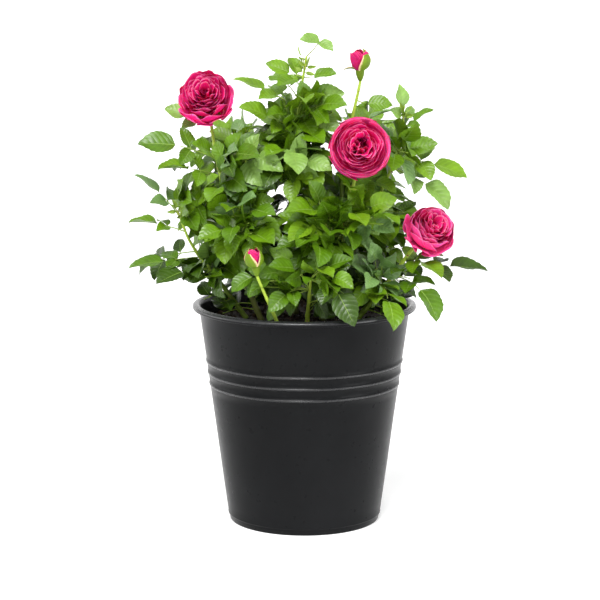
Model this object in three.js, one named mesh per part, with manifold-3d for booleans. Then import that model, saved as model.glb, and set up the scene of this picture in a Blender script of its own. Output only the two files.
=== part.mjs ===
// A patio rose in its pot: a round, ridged plastic pot filled with compost, the canes that rise
// from the compost, the open blooms and buds that the canes carry, and the masses of foliage.
// Millimetres, +Z up. The origin is the middle of the flat face the pot stands on, and -Y is the
// front, the side that the blooms face.

import * as THREE from 'three';
import { mergeVertices } from 'three/addons/utils/BufferGeometryUtils.js';
import Module from 'manifold-3d';

const wasm = await Module();
wasm.setup();

// ---------------------------------------------------------------------------------------------
// Driving dimensions
// ---------------------------------------------------------------------------------------------

const POT = {
  height: 217,
  rimRadius: 110,        // outside of the rolled lip
  lipDepth: 6,           // how far the lip hangs down outside the wall
  lipFlat: 4.5,          // flat top of the lip
  lipRound: 1.5,         // bevel of the lip's outer edges
  lipTuck: 0.8,          // how far the lip's lower edge is drawn in
  baseRadius: 74.3,      // wall at the ground, before the foot is stepped in
  slope: 0.1375,         // growth of the wall's radius for each millimetre of height
  wall: 1.8,
  floor: 3,
  footHeight: 7,         // band round the bottom, stepped in under a small bead
  footStep: 0.9,
  footBevel: 1,
  beadProud: 0.3,
  beadHeight: 1.2,
  ridgeHeights: [137.5, 149, 160.3],
  ridgeProud: 1.3,       // how far a ridge stands out of the wall
  ridgeHalf: 1.9,        // half of a ridge's height
  sides: 28,
  drainHoles: 6,
  drainRadius: 4.5,
  drainCircle: 48,       // radius of the circle the drain holes lie on
  drainSides: 8,
};

const SOIL = {
  top: 202,              // 15 mm below the top of the rim
  crown: 3,              // rise of the surface from the wall to its level middle
  level: 0.86,           // the part of its radius over which the surface is level
  floorGap: 0.35,
  wallGap: 0.65,
};

const CLEARANCE = 0.4;   // between two solids that touch on the real plant

const CANE = {
  sides: 6,
  rings: 6,
  sunk: 3,               // each cane starts so far down, and is cut flat at the compost
};

// Foliage comes in three builds: a compound leaf at the crown's edge, a spray of several, and a
// clump of many round a cane. The neck is the part of its girth that it leaves the cane with.
const FOLIAGE = {
  leaf: { width: 30, thick: 21, neck: 0.25, rings: 5 },
  spray: { width: 58, thick: 52, neck: 0.6, rings: 6 },
  clump: { width: 80, thick: 73, neck: 0.8, rings: 6 },
};

// What every mass of foliage has in common. Its waves are parts of its girth.
const MASS = {
  sides: 8,
  archAt: 0.55,          // the part of its reach at which it starts to arch over
  neckEnds: 0.4,         // the part of its length at which its neck has its full girth
  lobes: 0.12,           // swell along its length
  hollows: 0.1,          // swell three times round it
  oval: 0.07,            // swell twice round it
  shift: 1.7,            // turn of these waves from each mass to the next, in radians
};

const COLOURS = {
  pot: { color: 0x26282a, roughness: 0.55, metalness: 0 },
  soil: { color: 0x3a2b20, roughness: 0.95, metalness: 0 },
  cane: { color: 0x6f8a3a, roughness: 0.6, metalness: 0 },
  foliage: { color: 0x3f7a35, roughness: 0.6, metalness: 0 },
  bloom: { color: 0xc2185f, roughness: 0.6, metalness: 0 },
};

// Flowers: where the middle of each one is, the way it faces (its plan heading, 0 to the right
// and 90 to the back, and its rise above level), its radius, and its depth from its front to
// the foot of its hip.
const FLOWER_FRONT = 0.35;   // the part of its depth that lies in front of its middle
const BLOOM = { sides: 12, lobes: 4, lobeDepth: 0.05 };
const BUD = { sides: 8 };
const FLOWERS = {
  bloom_left: { at: [-96, -5, 420], heading: 264, rise: 32, radius: 28, depth: 42 },
  bloom_centre: { at: [53, -60, 377], heading: 271, rise: 12, radius: 30.5, depth: 46 },
  bloom_right: { at: [122, -40, 296], heading: 296, rise: 34, radius: 25, depth: 40 },
  bud_top: { at: [53, -10, 458], heading: 250, rise: 82, radius: 9, depth: 35 },
  bud_low: { at: [-48, -98, 279], heading: 160, rise: 80, radius: 9, depth: 30 },
};

// Canes: the foot in plan, the points each one passes, and the radius at foot and tip. A cane
// with a flower ends at the foot of its hip. Its leaves leave it at a height above the ground,
// on a plan heading and a rise above level, reach so far, and fall by so much at the tip.
const CANES = {
  top: {
    foot: [-8, 14], by: [[-14, 10, 330], [-6, 6, 394], [-4, 4, 432]], tip: [2, 2, 458],
    radius: [3.4, 1.2],
    leaves: [
      { height: 457, heading: 10, rise: 48, reach: 26, fall: 0, build: 'leaf', girth: 0.8 },
      { height: 432, heading: 178, rise: 44, reach: 42, fall: 6, build: 'leaf', girth: 1.15 },
      { height: 428, heading: 335, rise: 36, reach: 44, fall: 6, build: 'leaf', girth: 1.1 },
      { height: 402, heading: 170, rise: 42, reach: 90, fall: 30, build: 'leaf', girth: 0.8 },
      { height: 388, heading: 200, rise: 24, reach: 66, fall: 6, build: 'leaf' },
      { height: 394, heading: 322, rise: 18, reach: 62, fall: 4, build: 'spray' },
      { height: 350, heading: 272, rise: 10, reach: 80, fall: 4, build: 'clump' },
      { height: 362, heading: 88, rise: 22, reach: 78, fall: 4, build: 'clump', girth: 0.9 },
    ],
  },
  left_bloom: {
    foot: [-40, -24], by: [[-63, -24, 258], [-73, -20, 308], [-84, -8, 354]],
    flower: 'bloom_left', radius: [3.2, 1.3],
    leaves: [
      { height: 388, heading: 162, rise: 26, reach: 54, fall: 6, build: 'leaf' },
      { height: 362, heading: 190, rise: 20, reach: 80, fall: 12, build: 'leaf' },
      { height: 346, heading: 206, rise: 14, reach: 66, fall: 10, build: 'leaf' },
      { height: 344, heading: 330, rise: 14, reach: 76, fall: 2, build: 'spray' },
      { height: 285, heading: 290, rise: 16, reach: 74, fall: 6, build: 'clump' },
    ],
  },
  left_low: {
    foot: [-54, -10], by: [[-74, -14, 228], [-97, -15, 259], [-108, -12, 271]],
    tip: [-121, -9, 302], radius: [2.8, 1.2],
    leaves: [
      { height: 301, heading: 168, rise: 55, reach: 82, fall: 28, build: 'leaf', girth: 0.7 },
      { height: 288, heading: 180, rise: 22, reach: 58, fall: 10, build: 'leaf', girth: 0.85 },
      { height: 262, heading: 190, rise: 5, reach: 69, fall: 16, build: 'leaf' },
      { height: 254, heading: 216, rise: 4, reach: 60, fall: 12, build: 'leaf' },
      { height: 288, heading: 325, rise: 52, reach: 66, fall: 0, build: 'spray' },
      { height: 240, heading: 252, rise: 22, reach: 62, fall: 8, build: 'spray' },
    ],
  },
  top_bud: {
    foot: [22, 12], by: [[34, 6, 300], [42, -2, 380], [50, -8, 413]],
    flower: 'bud_top', radius: [3.1, 1.3],
    leaves: [
      { height: 404, heading: 8, rise: 34, reach: 40, fall: 6, build: 'leaf' },
    ],
  },
  right: {
    foot: [44, 8], by: [[56, 6, 270], [70, 3, 318], [90, 0, 358]], tip: [96, 2, 396],
    radius: [3.1, 1.3],
    leaves: [
      { height: 393, heading: 106, rise: 74, reach: 40, fall: 0, build: 'leaf' },
      { height: 390, heading: 15, rise: 26, reach: 38, fall: 6, build: 'leaf', girth: 0.7 },
      { height: 358, heading: 2, rise: 6, reach: 66, fall: 30, build: 'leaf', girth: 1.1 },
      { height: 345, heading: 356, rise: -2, reach: 60, fall: 28, build: 'leaf' },
      { height: 352, heading: 290, rise: 34, reach: 52, fall: 0, build: 'spray', girth: 0.9 },
      { height: 300, heading: 335, rise: -8, reach: 60, fall: 8, build: 'spray', girth: 0.85 },
    ],
  },
  right_bloom: {
    foot: [48, -18], by: [[66, -18, 222], [88, -17, 249], [102, -18, 269]],
    flower: 'bloom_right', radius: [2.8, 1.3],
    leaves: [
      { height: 254, heading: 6, rise: 7, reach: 87, fall: 17, build: 'leaf' },
      { height: 246, heading: 318, rise: 14, reach: 58, fall: 50, build: 'leaf' },
      { height: 232, heading: 278, rise: 22, reach: 78, fall: 56, build: 'leaf' },
      { height: 228, heading: 258, rise: 30, reach: 72, fall: 14, build: 'spray' },
    ],
  },
  centre_bloom: {
    foot: [16, -16], by: [[30, -26, 260], [44, -28, 320]], flower: 'bloom_centre',
    radius: [3.3, 1.5],
    leaves: [
      { height: 296, heading: 310, rise: 12, reach: 76, fall: 6, build: 'spray' },
      { height: 275, heading: 228, rise: 22, reach: 84, fall: 8, build: 'clump' },
    ],
  },
  front: {
    foot: [2, -44], by: [[4, -58, 228]], tip: [6, -74, 252], radius: [2.6, 1.4],
    leaves: [
      { height: 250, heading: 318, rise: 20, reach: 58, fall: 54, build: 'leaf' },
      { height: 240, heading: 186, rise: 8, reach: 80, fall: 4, build: 'spray' },
      { height: 244, heading: 318, rise: 12, reach: 56, fall: 6, build: 'spray', girth: 0.85 },
    ],
  },
  low_bud: {
    foot: [-22, -78], by: [[-28, -86, 218], [-38, -93, 242]], flower: 'bud_low',
    radius: [2.0, 1.3],
    leaves: [],
  },
  back_left: {
    foot: [-30, 24], by: [[-42, 34, 260], [-54, 44, 320]], tip: [-60, 50, 364],
    radius: [3.2, 1.3],
    leaves: [
      { height: 338, heading: 112, rise: 16, reach: 80, fall: 2, build: 'clump' },
      { height: 290, heading: 170, rise: 8, reach: 84, fall: 6, build: 'clump' },
      { height: 238, heading: 92, rise: 10, reach: 88, fall: 10, build: 'clump' },
    ],
  },
  back_right: {
    foot: [22, 38], by: [[32, 44, 260], [46, 52, 320]], tip: [56, 58, 368],
    radius: [3.2, 1.3],
    leaves: [
      { height: 346, heading: 58, rise: 16, reach: 78, fall: 2, build: 'clump' },
      { height: 292, heading: 2, rise: 6, reach: 80, fall: 6, build: 'clump' },
      { height: 300, heading: 128, rise: 8, reach: 84, fall: 6, build: 'clump' },
      { height: 238, heading: 40, rise: 12, reach: 86, fall: 10, build: 'clump' },
    ],
  },
};

// ---------------------------------------------------------------------------------------------
// Small tools
// ---------------------------------------------------------------------------------------------

const WELD = 1e-4;       // vertices nearer than this are one
const HALVINGS = 30;     // of a curve, to find a height on it

const UP = new THREE.Vector3(0, 0, 1);
const BACK = new THREE.Vector3(0, 1, 0);

const radians = THREE.MathUtils.degToRad;
const wallRadius = (height) => POT.baseRadius + POT.slope * height;

// The unit vector on a plan heading, risen above level.
function direction(heading, rise) {
  const level = Math.cos(radians(rise));
  return new THREE.Vector3(
    level * Math.cos(radians(heading)), level * Math.sin(radians(heading)), Math.sin(radians(rise)));
}

// Only positions are kept, with the vertices that lie together made one.
function welded(geometry) {
  const bare = geometry.clone();
  bare.deleteAttribute('normal');
  bare.deleteAttribute('uv');
  return mergeVertices(bare, WELD);
}

function toSolid(geometry) {
  const bare = welded(geometry);
  return new wasm.Manifold(new wasm.Mesh({
    numProp: 3,
    vertProperties: new Float32Array(bare.attributes.position.array),
    triVerts: new Uint32Array(bare.index.array),
  }));
}

function toGeometry(solid) {
  const mesh = solid.getMesh();
  const geometry = new THREE.BufferGeometry();
  geometry.setAttribute('position', new THREE.Float32BufferAttribute(mesh.vertProperties, 3));
  geometry.setIndex(new THREE.BufferAttribute(mesh.triVerts, 1));
  return geometry;
}

// The same shape with every vertex pushed out along its normal.
function swollen(geometry, by) {
  const bare = welded(geometry);
  bare.computeVertexNormals();
  const place = bare.attributes.position;
  const normal = bare.attributes.normal;
  for (let i = 0; i < place.count; i += 1) {
    place.setXYZ(
      i,
      place.getX(i) + by * normal.getX(i),
      place.getY(i) + by * normal.getY(i),
      place.getZ(i) + by * normal.getZ(i));
  }
  return bare;
}

// Bends a shape that stands on the Y axis from 0 to 1 along a curve. The shape's X becomes the
// level side of the curve, and section(station, angle) gives the two half widths there.
function bend(geometry, curve, reference, section) {
  const bare = welded(geometry);
  const place = bare.attributes.position;
  for (let i = 0; i < place.count; i += 1) {
    const station = THREE.MathUtils.clamp(place.getY(i), 0, 1);
    const along = curve.getTangentAt(station);
    const side = new THREE.Vector3().crossVectors(along, reference).normalize();
    const over = new THREE.Vector3().crossVectors(side, along);
    const [wide, high] = section(station, Math.atan2(place.getZ(i), place.getX(i)));
    const point = curve.getPointAt(station)
      .addScaledVector(side, wide * place.getX(i))
      .addScaledVector(over, high * place.getZ(i));
    place.setXYZ(i, point.x, point.y, point.z);
  }
  return bare;
}

// ---------------------------------------------------------------------------------------------
// Pot and compost
// ---------------------------------------------------------------------------------------------

function ridgeProfile(height) {
  const { ridgeHalf, ridgeProud } = POT;
  return [[-1, 0], [0, 1], [1, 0]].map(([up, out]) => {
    const z = height + up * ridgeHalf;
    return new THREE.Vector2(wallRadius(z) + out * ridgeProud, z);
  });
}

function potGeometry() {
  const { height, rimRadius, lipDepth, lipFlat, lipRound, lipTuck, wall, floor } = POT;
  const { footHeight, footStep, footBevel, beadProud, beadHeight } = POT;
  const point = (radius, z) => new THREE.Vector2(radius, z);
  const underLip = height - lipDepth;
  const outside = [
    point(0, 0),
    point(wallRadius(0) - footStep - footBevel, 0),
    point(wallRadius(footBevel) - footStep, footBevel),
    point(wallRadius(footHeight) - footStep, footHeight - footBevel),
    point(wallRadius(footHeight) + beadProud, footHeight),
    point(wallRadius(footHeight), footHeight + beadHeight),
    ...POT.ridgeHeights.flatMap(ridgeProfile),
    point(wallRadius(underLip), underLip),
  ];
  const lip = [
    point(rimRadius - lipTuck, underLip),
    point(rimRadius, underLip + lipRound),
    point(rimRadius, height - lipRound),
    point(rimRadius - lipRound, height),
    point(rimRadius - lipRound - lipFlat, height),
    point(wallRadius(underLip) - wall, underLip - 1),
  ];
  const inside = [
    point(wallRadius(floor) - wall, floor),
    point(0, floor),
  ];
  const shell = new THREE.LatheGeometry([...outside, ...lip, ...inside], POT.sides);
  return shell.rotateX(Math.PI / 2);
}

function pottedWithDrains() {
  const { floor, drainHoles, drainRadius, drainCircle, drainSides } = POT;
  let solid = toSolid(potGeometry());
  for (let i = 0; i < drainHoles; i += 1) {
    const turn = (2 * Math.PI * (i + 0.5)) / drainHoles;
    const drill = new THREE.CylinderGeometry(drainRadius, drainRadius, 3 * floor, drainSides);
    drill.rotateX(Math.PI / 2);
    drill.translate(drainCircle * Math.cos(turn), drainCircle * Math.sin(turn), floor / 2);
    solid = solid.subtract(toSolid(drill));
  }
  return solid;
}

function soilGeometry() {
  const { top, crown, level, floorGap, wallGap } = SOIL;
  const bottom = POT.floor + floorGap;
  const reach = (z) => wallRadius(z) - POT.wall - wallGap;
  const profile = [
    new THREE.Vector2(0, bottom),
    new THREE.Vector2(reach(bottom), bottom),
    new THREE.Vector2(reach(top - crown), top - crown),
    new THREE.Vector2(reach(top) * level, top),
    new THREE.Vector2(0, top),
  ];
  return new THREE.LatheGeometry(profile, POT.sides).rotateX(Math.PI / 2);
}

// ---------------------------------------------------------------------------------------------
// Flowers, canes and foliage
// ---------------------------------------------------------------------------------------------

// The foot of a flower's hip, where its cane ends.
function flowerFoot({ at, heading, rise, depth }) {
  const behind = depth * (1 - FLOWER_FRONT);
  return new THREE.Vector3(...at).addScaledVector(direction(heading, rise), -behind);
}

// Turns pairs of out and up, as parts of a flower's radius and depth, into its lathe profile.
function flowerProfile({ radius, depth }, pairs) {
  return pairs.map(([out, up]) => new THREE.Vector2(out * radius, (up - 1 + FLOWER_FRONT) * depth));
}

// An open bloom is a deep bowl with a domed front, gently lobed by its outer petals.
function bloomGeometry(flower) {
  const profile = flowerProfile(flower, [
    [0, 0], [0.09, 0], [0.13, 0.06], [0.2, 0.2], [0.62, 0.3], [0.94, 0.5], [1, 0.68],
    [0.86, 0.88], [0.5, 0.98], [0, 1],
  ]);
  const lathe = welded(new THREE.LatheGeometry(profile, BLOOM.sides));
  const place = lathe.attributes.position;
  for (let i = 0; i < place.count; i += 1) {
    const angle = Math.atan2(place.getZ(i), place.getX(i));
    const lobe = 1 - BLOOM.lobeDepth * (1 - Math.cos(BLOOM.lobes * angle));
    place.setX(i, place.getX(i) * lobe);
    place.setZ(i, place.getZ(i) * lobe);
  }
  return lathe;
}

// A bud is a pointed egg on a round hip.
function budGeometry(flower) {
  const profile = flowerProfile(flower, [
    [0, 0], [0.16, 0], [0.46, 0.08], [0.5, 0.2], [0.4, 0.27], [0.82, 0.4], [1, 0.56],
    [0.84, 0.76], [0.42, 0.93], [0, 1],
  ]);
  return new THREE.LatheGeometry(profile, BUD.sides);
}

function flowerSolid(name, flower) {
  const shape = name.startsWith('bud') ? budGeometry(flower) : bloomGeometry(flower);
  const facing = direction(flower.heading, flower.rise);
  shape.applyQuaternion(new THREE.Quaternion().setFromUnitVectors(BACK, facing));
  shape.translate(...flower.at);
  return shape;
}

function caneCurve({ foot, by, tip, flower }) {
  const points = [new THREE.Vector3(foot[0], foot[1], SOIL.top - CANE.sunk)];
  points.push(...by.map((point) => new THREE.Vector3(...point)));
  if (flower) {
    const bloom = FLOWERS[flower];
    const facing = direction(bloom.heading, bloom.rise);
    points.push(flowerFoot(bloom).addScaledVector(facing, -CLEARANCE));
  } else {
    points.push(new THREE.Vector3(...tip));
  }
  return new THREE.CatmullRomCurve3(points, false, 'centripetal');
}

function caneGeometry(curve, [thick, thin]) {
  const post = new THREE.CylinderGeometry(1, 1, 1, CANE.sides, CANE.rings).translate(0, 0.5, 0);
  return bend(post, curve, BACK, (station) => {
    const radius = THREE.MathUtils.lerp(thick, thin, station);
    return [radius, radius];
  });
}

// The station of a curve, from 0 at its foot to 1 at its tip, that stands at a given height.
function stationAt(curve, height) {
  let low = 0;
  let high = 1;
  for (let step = 0; step < HALVINGS; step += 1) {
    const middle = (low + high) / 2;
    if (curve.getPointAt(middle).z < height) low = middle;
    else high = middle;
  }
  return low;
}

// A mass of foliage leaves its cane by a neck, swells in two lobes and closes at its tip. The
// lobes and hollows of each one fall differently, by its count.
function foliageGeometry(curve, row, count) {
  const build = FOLIAGE[row.build];
  const start = curve.getPointAt(stationAt(curve, row.height));
  const heading = direction(row.heading, row.rise);
  const tip = start.clone().addScaledVector(heading, row.reach).addScaledVector(UP, -row.fall);
  const middle = start.clone().addScaledVector(heading, row.reach * MASS.archAt);
  const path = new THREE.QuadraticBezierCurve3(start, middle, tip);
  const shift = MASS.shift * count;
  const ball = new THREE.SphereGeometry(1, MASS.sides, build.rings);
  const egg = ball.scale(1, 0.5, 1).translate(0, 0.5, 0);
  return bend(egg, path, UP, (station, angle) => {
    const opened = THREE.MathUtils.smoothstep(station, 0, MASS.neckEnds);
    const neck = THREE.MathUtils.lerp(build.neck, 1, opened);
    const lobes = 1 + MASS.lobes * Math.cos(4 * Math.PI * station + shift);
    const hollows = 1 + MASS.hollows * Math.sin(3 * angle + shift)
      + MASS.oval * Math.cos(2 * angle - shift);
    const girth = (row.girth ?? 1) * neck * lobes * hollows;
    return [girth * build.width / 2, girth * build.thick / 2];
  });
}

// ---------------------------------------------------------------------------------------------
// The whole plant: each solid is cut clear of the ones made before it
// ---------------------------------------------------------------------------------------------

const plant = new THREE.Group();
const cutters = [];

function keep(name, solid, look) {
  const mesh = new THREE.Mesh(toGeometry(solid), new THREE.MeshStandardMaterial(COLOURS[look]));
  mesh.name = name;
  plant.add(mesh);
}

function boxesMeet(one, other) {
  return [0, 1, 2].every(
    (axis) => one.min[axis] <= other.max[axis] && other.min[axis] <= one.max[axis]);
}

// Cuts a solid clear of every earlier one, and keeps its largest piece.
function cutClear(geometry) {
  let solid = toSolid(geometry);
  for (const cutter of cutters) {
    if (boxesMeet(solid.boundingBox(), cutter.boundingBox())) solid = solid.subtract(cutter);
  }
  const pieces = solid.decompose();
  return pieces.reduce((best, piece) => (piece.volume() > best.volume() ? piece : best));
}

function addCutter(geometry) {
  cutters.push(toSolid(swollen(geometry, CLEARANCE)));
}

keep('pot', pottedWithDrains(), 'pot');
addCutter(potGeometry());

keep('soil', toSolid(soilGeometry()), 'soil');
addCutter(soilGeometry());

for (const [name, flower] of Object.entries(FLOWERS)) {
  const geometry = flowerSolid(name, flower);
  keep(name, toSolid(geometry), 'bloom');
  addCutter(geometry);
}

const curves = {};
for (const [name, cane] of Object.entries(CANES)) {
  curves[name] = caneCurve(cane);
  const geometry = caneGeometry(curves[name], cane.radius);
  keep(`cane_${name}`, cutClear(geometry), 'cane');
  addCutter(geometry);
}

let count = 0;
for (const build of Object.keys(FOLIAGE)) {
  for (const [name, cane] of Object.entries(CANES)) {
    cane.leaves.forEach((row, index) => {
      if (row.build !== build) return;
      count += 1;
      const geometry = foliageGeometry(curves[name], row, count);
      keep(`leaves_${name}_${index + 1}`, cutClear(geometry), 'foliage');
      addCutter(geometry);
    });
  }
}

export default plant;
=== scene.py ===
"""A patio rose in its ridged plastic pot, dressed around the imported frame.

The frame holds the real sizes: where each cane runs, how far each mass of foliage reaches, and
where the flowers sit. This script reads those places and grows the plant on them: bark, twigs,
compound leaves, layered petals, sepals, the moulded pot and the crumbly compost.
"""

from __future__ import annotations

import logging
import math
from collections.abc import Sequence
from dataclasses import dataclass, field
from enum import Enum, IntEnum

import bpy
import numpy as np
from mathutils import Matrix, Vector
from mathutils.bvhtree import BVHTree


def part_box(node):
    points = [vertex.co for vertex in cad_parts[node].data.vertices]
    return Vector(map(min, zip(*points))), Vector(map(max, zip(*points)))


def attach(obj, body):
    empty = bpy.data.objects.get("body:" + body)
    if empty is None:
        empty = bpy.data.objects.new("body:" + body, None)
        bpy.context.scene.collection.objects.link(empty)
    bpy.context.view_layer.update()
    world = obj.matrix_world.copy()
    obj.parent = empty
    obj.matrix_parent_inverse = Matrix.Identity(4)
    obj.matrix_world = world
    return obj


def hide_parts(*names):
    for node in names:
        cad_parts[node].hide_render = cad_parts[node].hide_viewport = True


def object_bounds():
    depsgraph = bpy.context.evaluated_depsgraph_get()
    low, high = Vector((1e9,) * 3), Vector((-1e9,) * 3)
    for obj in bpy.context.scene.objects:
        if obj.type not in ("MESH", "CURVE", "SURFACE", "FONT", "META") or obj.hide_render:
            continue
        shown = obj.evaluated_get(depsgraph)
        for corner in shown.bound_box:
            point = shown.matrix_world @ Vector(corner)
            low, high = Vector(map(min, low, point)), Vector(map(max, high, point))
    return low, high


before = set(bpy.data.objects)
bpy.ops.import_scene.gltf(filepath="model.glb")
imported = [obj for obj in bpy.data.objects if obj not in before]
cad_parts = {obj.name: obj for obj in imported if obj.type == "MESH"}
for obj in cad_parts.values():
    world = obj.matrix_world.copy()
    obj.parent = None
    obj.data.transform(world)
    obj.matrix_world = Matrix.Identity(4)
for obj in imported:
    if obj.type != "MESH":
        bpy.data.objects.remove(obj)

CAD_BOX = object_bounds()

MM = 0.001
BODY = "root"
UP = np.array([0.0, 0.0, 1.0])
GOLDEN_ANGLE = math.radians(137.5)
LEAF_MARGIN = 9 * MM
LOG = logging.getLogger("patio_rose")

Colour = tuple[float, float, float]


# ----- Small mathematics -----


def unit(vector: np.ndarray) -> np.ndarray:
    """Returns the vector at length one."""
    return vector / max(float(np.linalg.norm(vector)), 1e-12)


def square_to(way: np.ndarray, wish: np.ndarray) -> np.ndarray:
    """Finds the unit vector square to a way that comes nearest to a wish.

    Args:
        way: A unit vector.
        wish: The vector to come near to.

    Returns:
        A unit vector at right angles to the way.
    """
    rest = wish - way * float(way @ wish)
    if np.linalg.norm(rest) < 1e-6:
        rest = np.cross(way, np.array([1.0, 0.3, 0.2]))
    return unit(rest)


def turned(vector: np.ndarray, about: np.ndarray, angle: float) -> np.ndarray:
    """Turns a vector about a unit axis.

    Args:
        vector: The vector to turn.
        about: The unit axis.
        angle: The turn in radians.

    Returns:
        The turned vector.
    """
    cosine, sine = math.cos(angle), math.sin(angle)
    return (vector * cosine + np.cross(about, vector) * sine
            + about * float(about @ vector) * (1 - cosine))


def bezier(start: np.ndarray, middle: np.ndarray, end: np.ndarray, steps: int) -> np.ndarray:
    """Samples a quadratic curve.

    Args:
        start: The first point.
        middle: The control point.
        end: The last point.
        steps: How many points to return.

    Returns:
        The points, one in each row.
    """
    share = np.linspace(0.0, 1.0, steps)[:, None]
    return (1 - share) ** 2 * start + 2 * share * (1 - share) * middle + share ** 2 * end


def spaced(points: np.ndarray, count: int) -> np.ndarray:
    """Takes evenly spaced points along a line of points.

    Args:
        points: The line's points, one in each row.
        count: How many points to return.

    Returns:
        The evenly spaced points.
    """
    lengths = np.linalg.norm(np.diff(points, axis=0), axis=1)
    along = np.concatenate([[0.0], np.cumsum(lengths)])
    wanted = np.linspace(0.0, along[-1], count)
    return np.stack([np.interp(wanted, along, points[:, axis]) for axis in range(3)], axis=1)


def line_length(points: np.ndarray) -> float:
    """Returns the length of a line of points."""
    return float(np.linalg.norm(np.diff(points, axis=0), axis=1).sum())


# ----- Meshes -----


def put(name: str, data: bpy.types.ID) -> bpy.types.Object:
    """Puts an object with its data into the scene, at the origin, and returns it."""
    made = bpy.data.objects.new(name, data)
    bpy.context.scene.collection.objects.link(made)
    return made


@dataclass
class Patchwork:
    """Gathers many small surfaces into one piece.

    Attributes:
        name: The name of the finished piece.
        finishes: The materials that the patches choose from by number.
    """

    name: str
    finishes: Sequence[bpy.types.Material]
    points: list[np.ndarray] = field(default_factory=list)
    uvs: list[np.ndarray] = field(default_factory=list)
    faces: list[np.ndarray] = field(default_factory=list)
    chosen: list[np.ndarray] = field(default_factory=list)
    size: int = 0

    def add(self, points: np.ndarray, faces: Sequence[np.ndarray], uv: np.ndarray,
            finish: int | np.ndarray = 0) -> None:
        """Adds a patch.

        Args:
            points: Its points, one in each row.
            faces: Arrays of corner numbers, each array with one number of corners.
            uv: A pattern place for each point.
            finish: Which of the piece's materials it takes, or one number for each face.
        """
        for corners in faces:
            self.faces.append(corners + self.size)
            self.chosen.append(np.broadcast_to(finish, len(corners)))
        self.points.append(points)
        self.uvs.append(uv)
        self.size += len(points)

    def build(self, smooth: bool = True) -> bpy.types.Object:
        """Turns the patches into one mesh object.

        Args:
            smooth: Whether the shading runs smoothly over the edges.

        Returns:
            The new object, at the origin, with its place in its mesh.
        """
        points = np.concatenate(self.points)
        uv = np.concatenate(self.uvs)
        corners = np.concatenate([f.ravel() for f in self.faces])
        counts = np.concatenate([np.full(len(f), f.shape[1]) for f in self.faces])
        starts = np.concatenate([[0], np.cumsum(counts)[:-1]])
        mesh = bpy.data.meshes.new(self.name)
        mesh.vertices.add(len(points))
        mesh.vertices.foreach_set("co", points.astype(np.float32).ravel())
        mesh.loops.add(len(corners))
        mesh.loops.foreach_set("vertex_index", corners.astype(np.int32))
        mesh.polygons.add(len(counts))
        mesh.polygons.foreach_set("loop_start", starts.astype(np.int32))
        mesh.update(calc_edges=True)
        layer = mesh.uv_layers.new(name="pattern")
        layer.data.foreach_set("uv", uv[corners].astype(np.float32).ravel())
        for finish in self.finishes:
            mesh.materials.append(finish)
        mesh.polygons.foreach_set(
            "material_index", np.concatenate(self.chosen).astype(np.int32))
        mesh.polygons.foreach_set("use_smooth", np.full(len(counts), smooth))
        mesh.validate()
        return put(self.name, mesh)


def grid_faces(rows: int, columns: int, wrap: bool = False) -> np.ndarray:
    """Numbers the quads of a grid of points that is stored row by row.

    Args:
        rows: How many rows of points there are.
        columns: How many points a row has.
        wrap: Whether the last column joins the first.

    Returns:
        The corner numbers of each quad.
    """
    across = np.arange(columns if wrap else columns - 1)
    following = (across + 1) % columns
    low = np.arange(rows - 1)[:, None] * columns
    quads = np.stack([low + across, low + following,
                      low + columns + following, low + columns + across], axis=-1)
    return quads.reshape(-1, 4)


def circle(sides: int) -> np.ndarray:
    """Returns evenly spaced turns round a circle, in radians."""
    return np.linspace(0.0, 2 * math.pi, sides, endpoint=False)


def ring(turn: np.ndarray, radius: float | np.ndarray, level: float | np.ndarray) -> np.ndarray:
    """Returns the points of a ring about the vertical axis, at some turns."""
    return np.column_stack([radius * np.cos(turn), radius * np.sin(turn),
                            np.broadcast_to(level, len(turn))])


def capped(rings: Sequence[np.ndarray], places: Sequence[np.ndarray]) -> tuple[
        np.ndarray, list[np.ndarray], np.ndarray]:
    """Joins rings of points into a surface that is closed flat at both ends.

    Args:
        rings: The rings, of as many points each.
        places: A ring of pattern places for each.

    Returns:
        Points, faces and pattern places, ready for a patchwork.
    """
    sides = len(rings[0])
    walls = grid_faces(len(rings), sides, wrap=True)
    foot = np.arange(sides)[::-1][None, :]
    end = (np.arange(sides) + (len(rings) - 1) * sides)[None, :]
    return np.concatenate(rings), [walls, foot, end], np.concatenate(places)


def tube(line: np.ndarray, radii: np.ndarray, sides: int) -> tuple[
        np.ndarray, list[np.ndarray], np.ndarray]:
    """Makes a closed round limb along a line.

    Args:
        line: The points that it follows.
        radii: Its radius at each of them.
        sides: How many sides its section has.

    Returns:
        Points, faces and pattern places, ready for a patchwork.
    """
    along = np.gradient(line, axis=0)
    along /= np.maximum(np.linalg.norm(along, axis=1, keepdims=True), 1e-12)
    side = square_to(along[0], np.array([0.9, 0.4, 0.1]))
    rings, places = [], []
    turn = circle(sides)
    travelled = 0.0
    for step, (centre, way, radius) in enumerate(zip(line, along, radii)):
        if step:
            travelled += float(np.linalg.norm(centre - line[step - 1]))
        side = square_to(way, side)
        over = np.cross(way, side)
        rings.append(centre + radius * (np.cos(turn)[:, None] * side
                                        + np.sin(turn)[:, None] * over))
        places.append(np.stack([turn / (2 * math.pi), np.full(sides, travelled)], axis=1))
    return capped(rings, places)


def lathe(profile: np.ndarray, sides: int) -> tuple[np.ndarray, list[np.ndarray], np.ndarray]:
    """Turns an outline round the vertical axis.

    Args:
        profile: Pairs of radius and height, none of them on the axis.
        sides: How many sides the round has.

    Returns:
        Points, faces and pattern places; both open ends are closed flat.
    """
    turn = circle(sides)
    rings = [ring(turn, radius, height) for radius, height in profile]
    places = [np.column_stack([turn / (2 * math.pi), np.full(sides, step / len(profile))])
              for step in range(len(profile))]
    return capped(rings, places)


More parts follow.
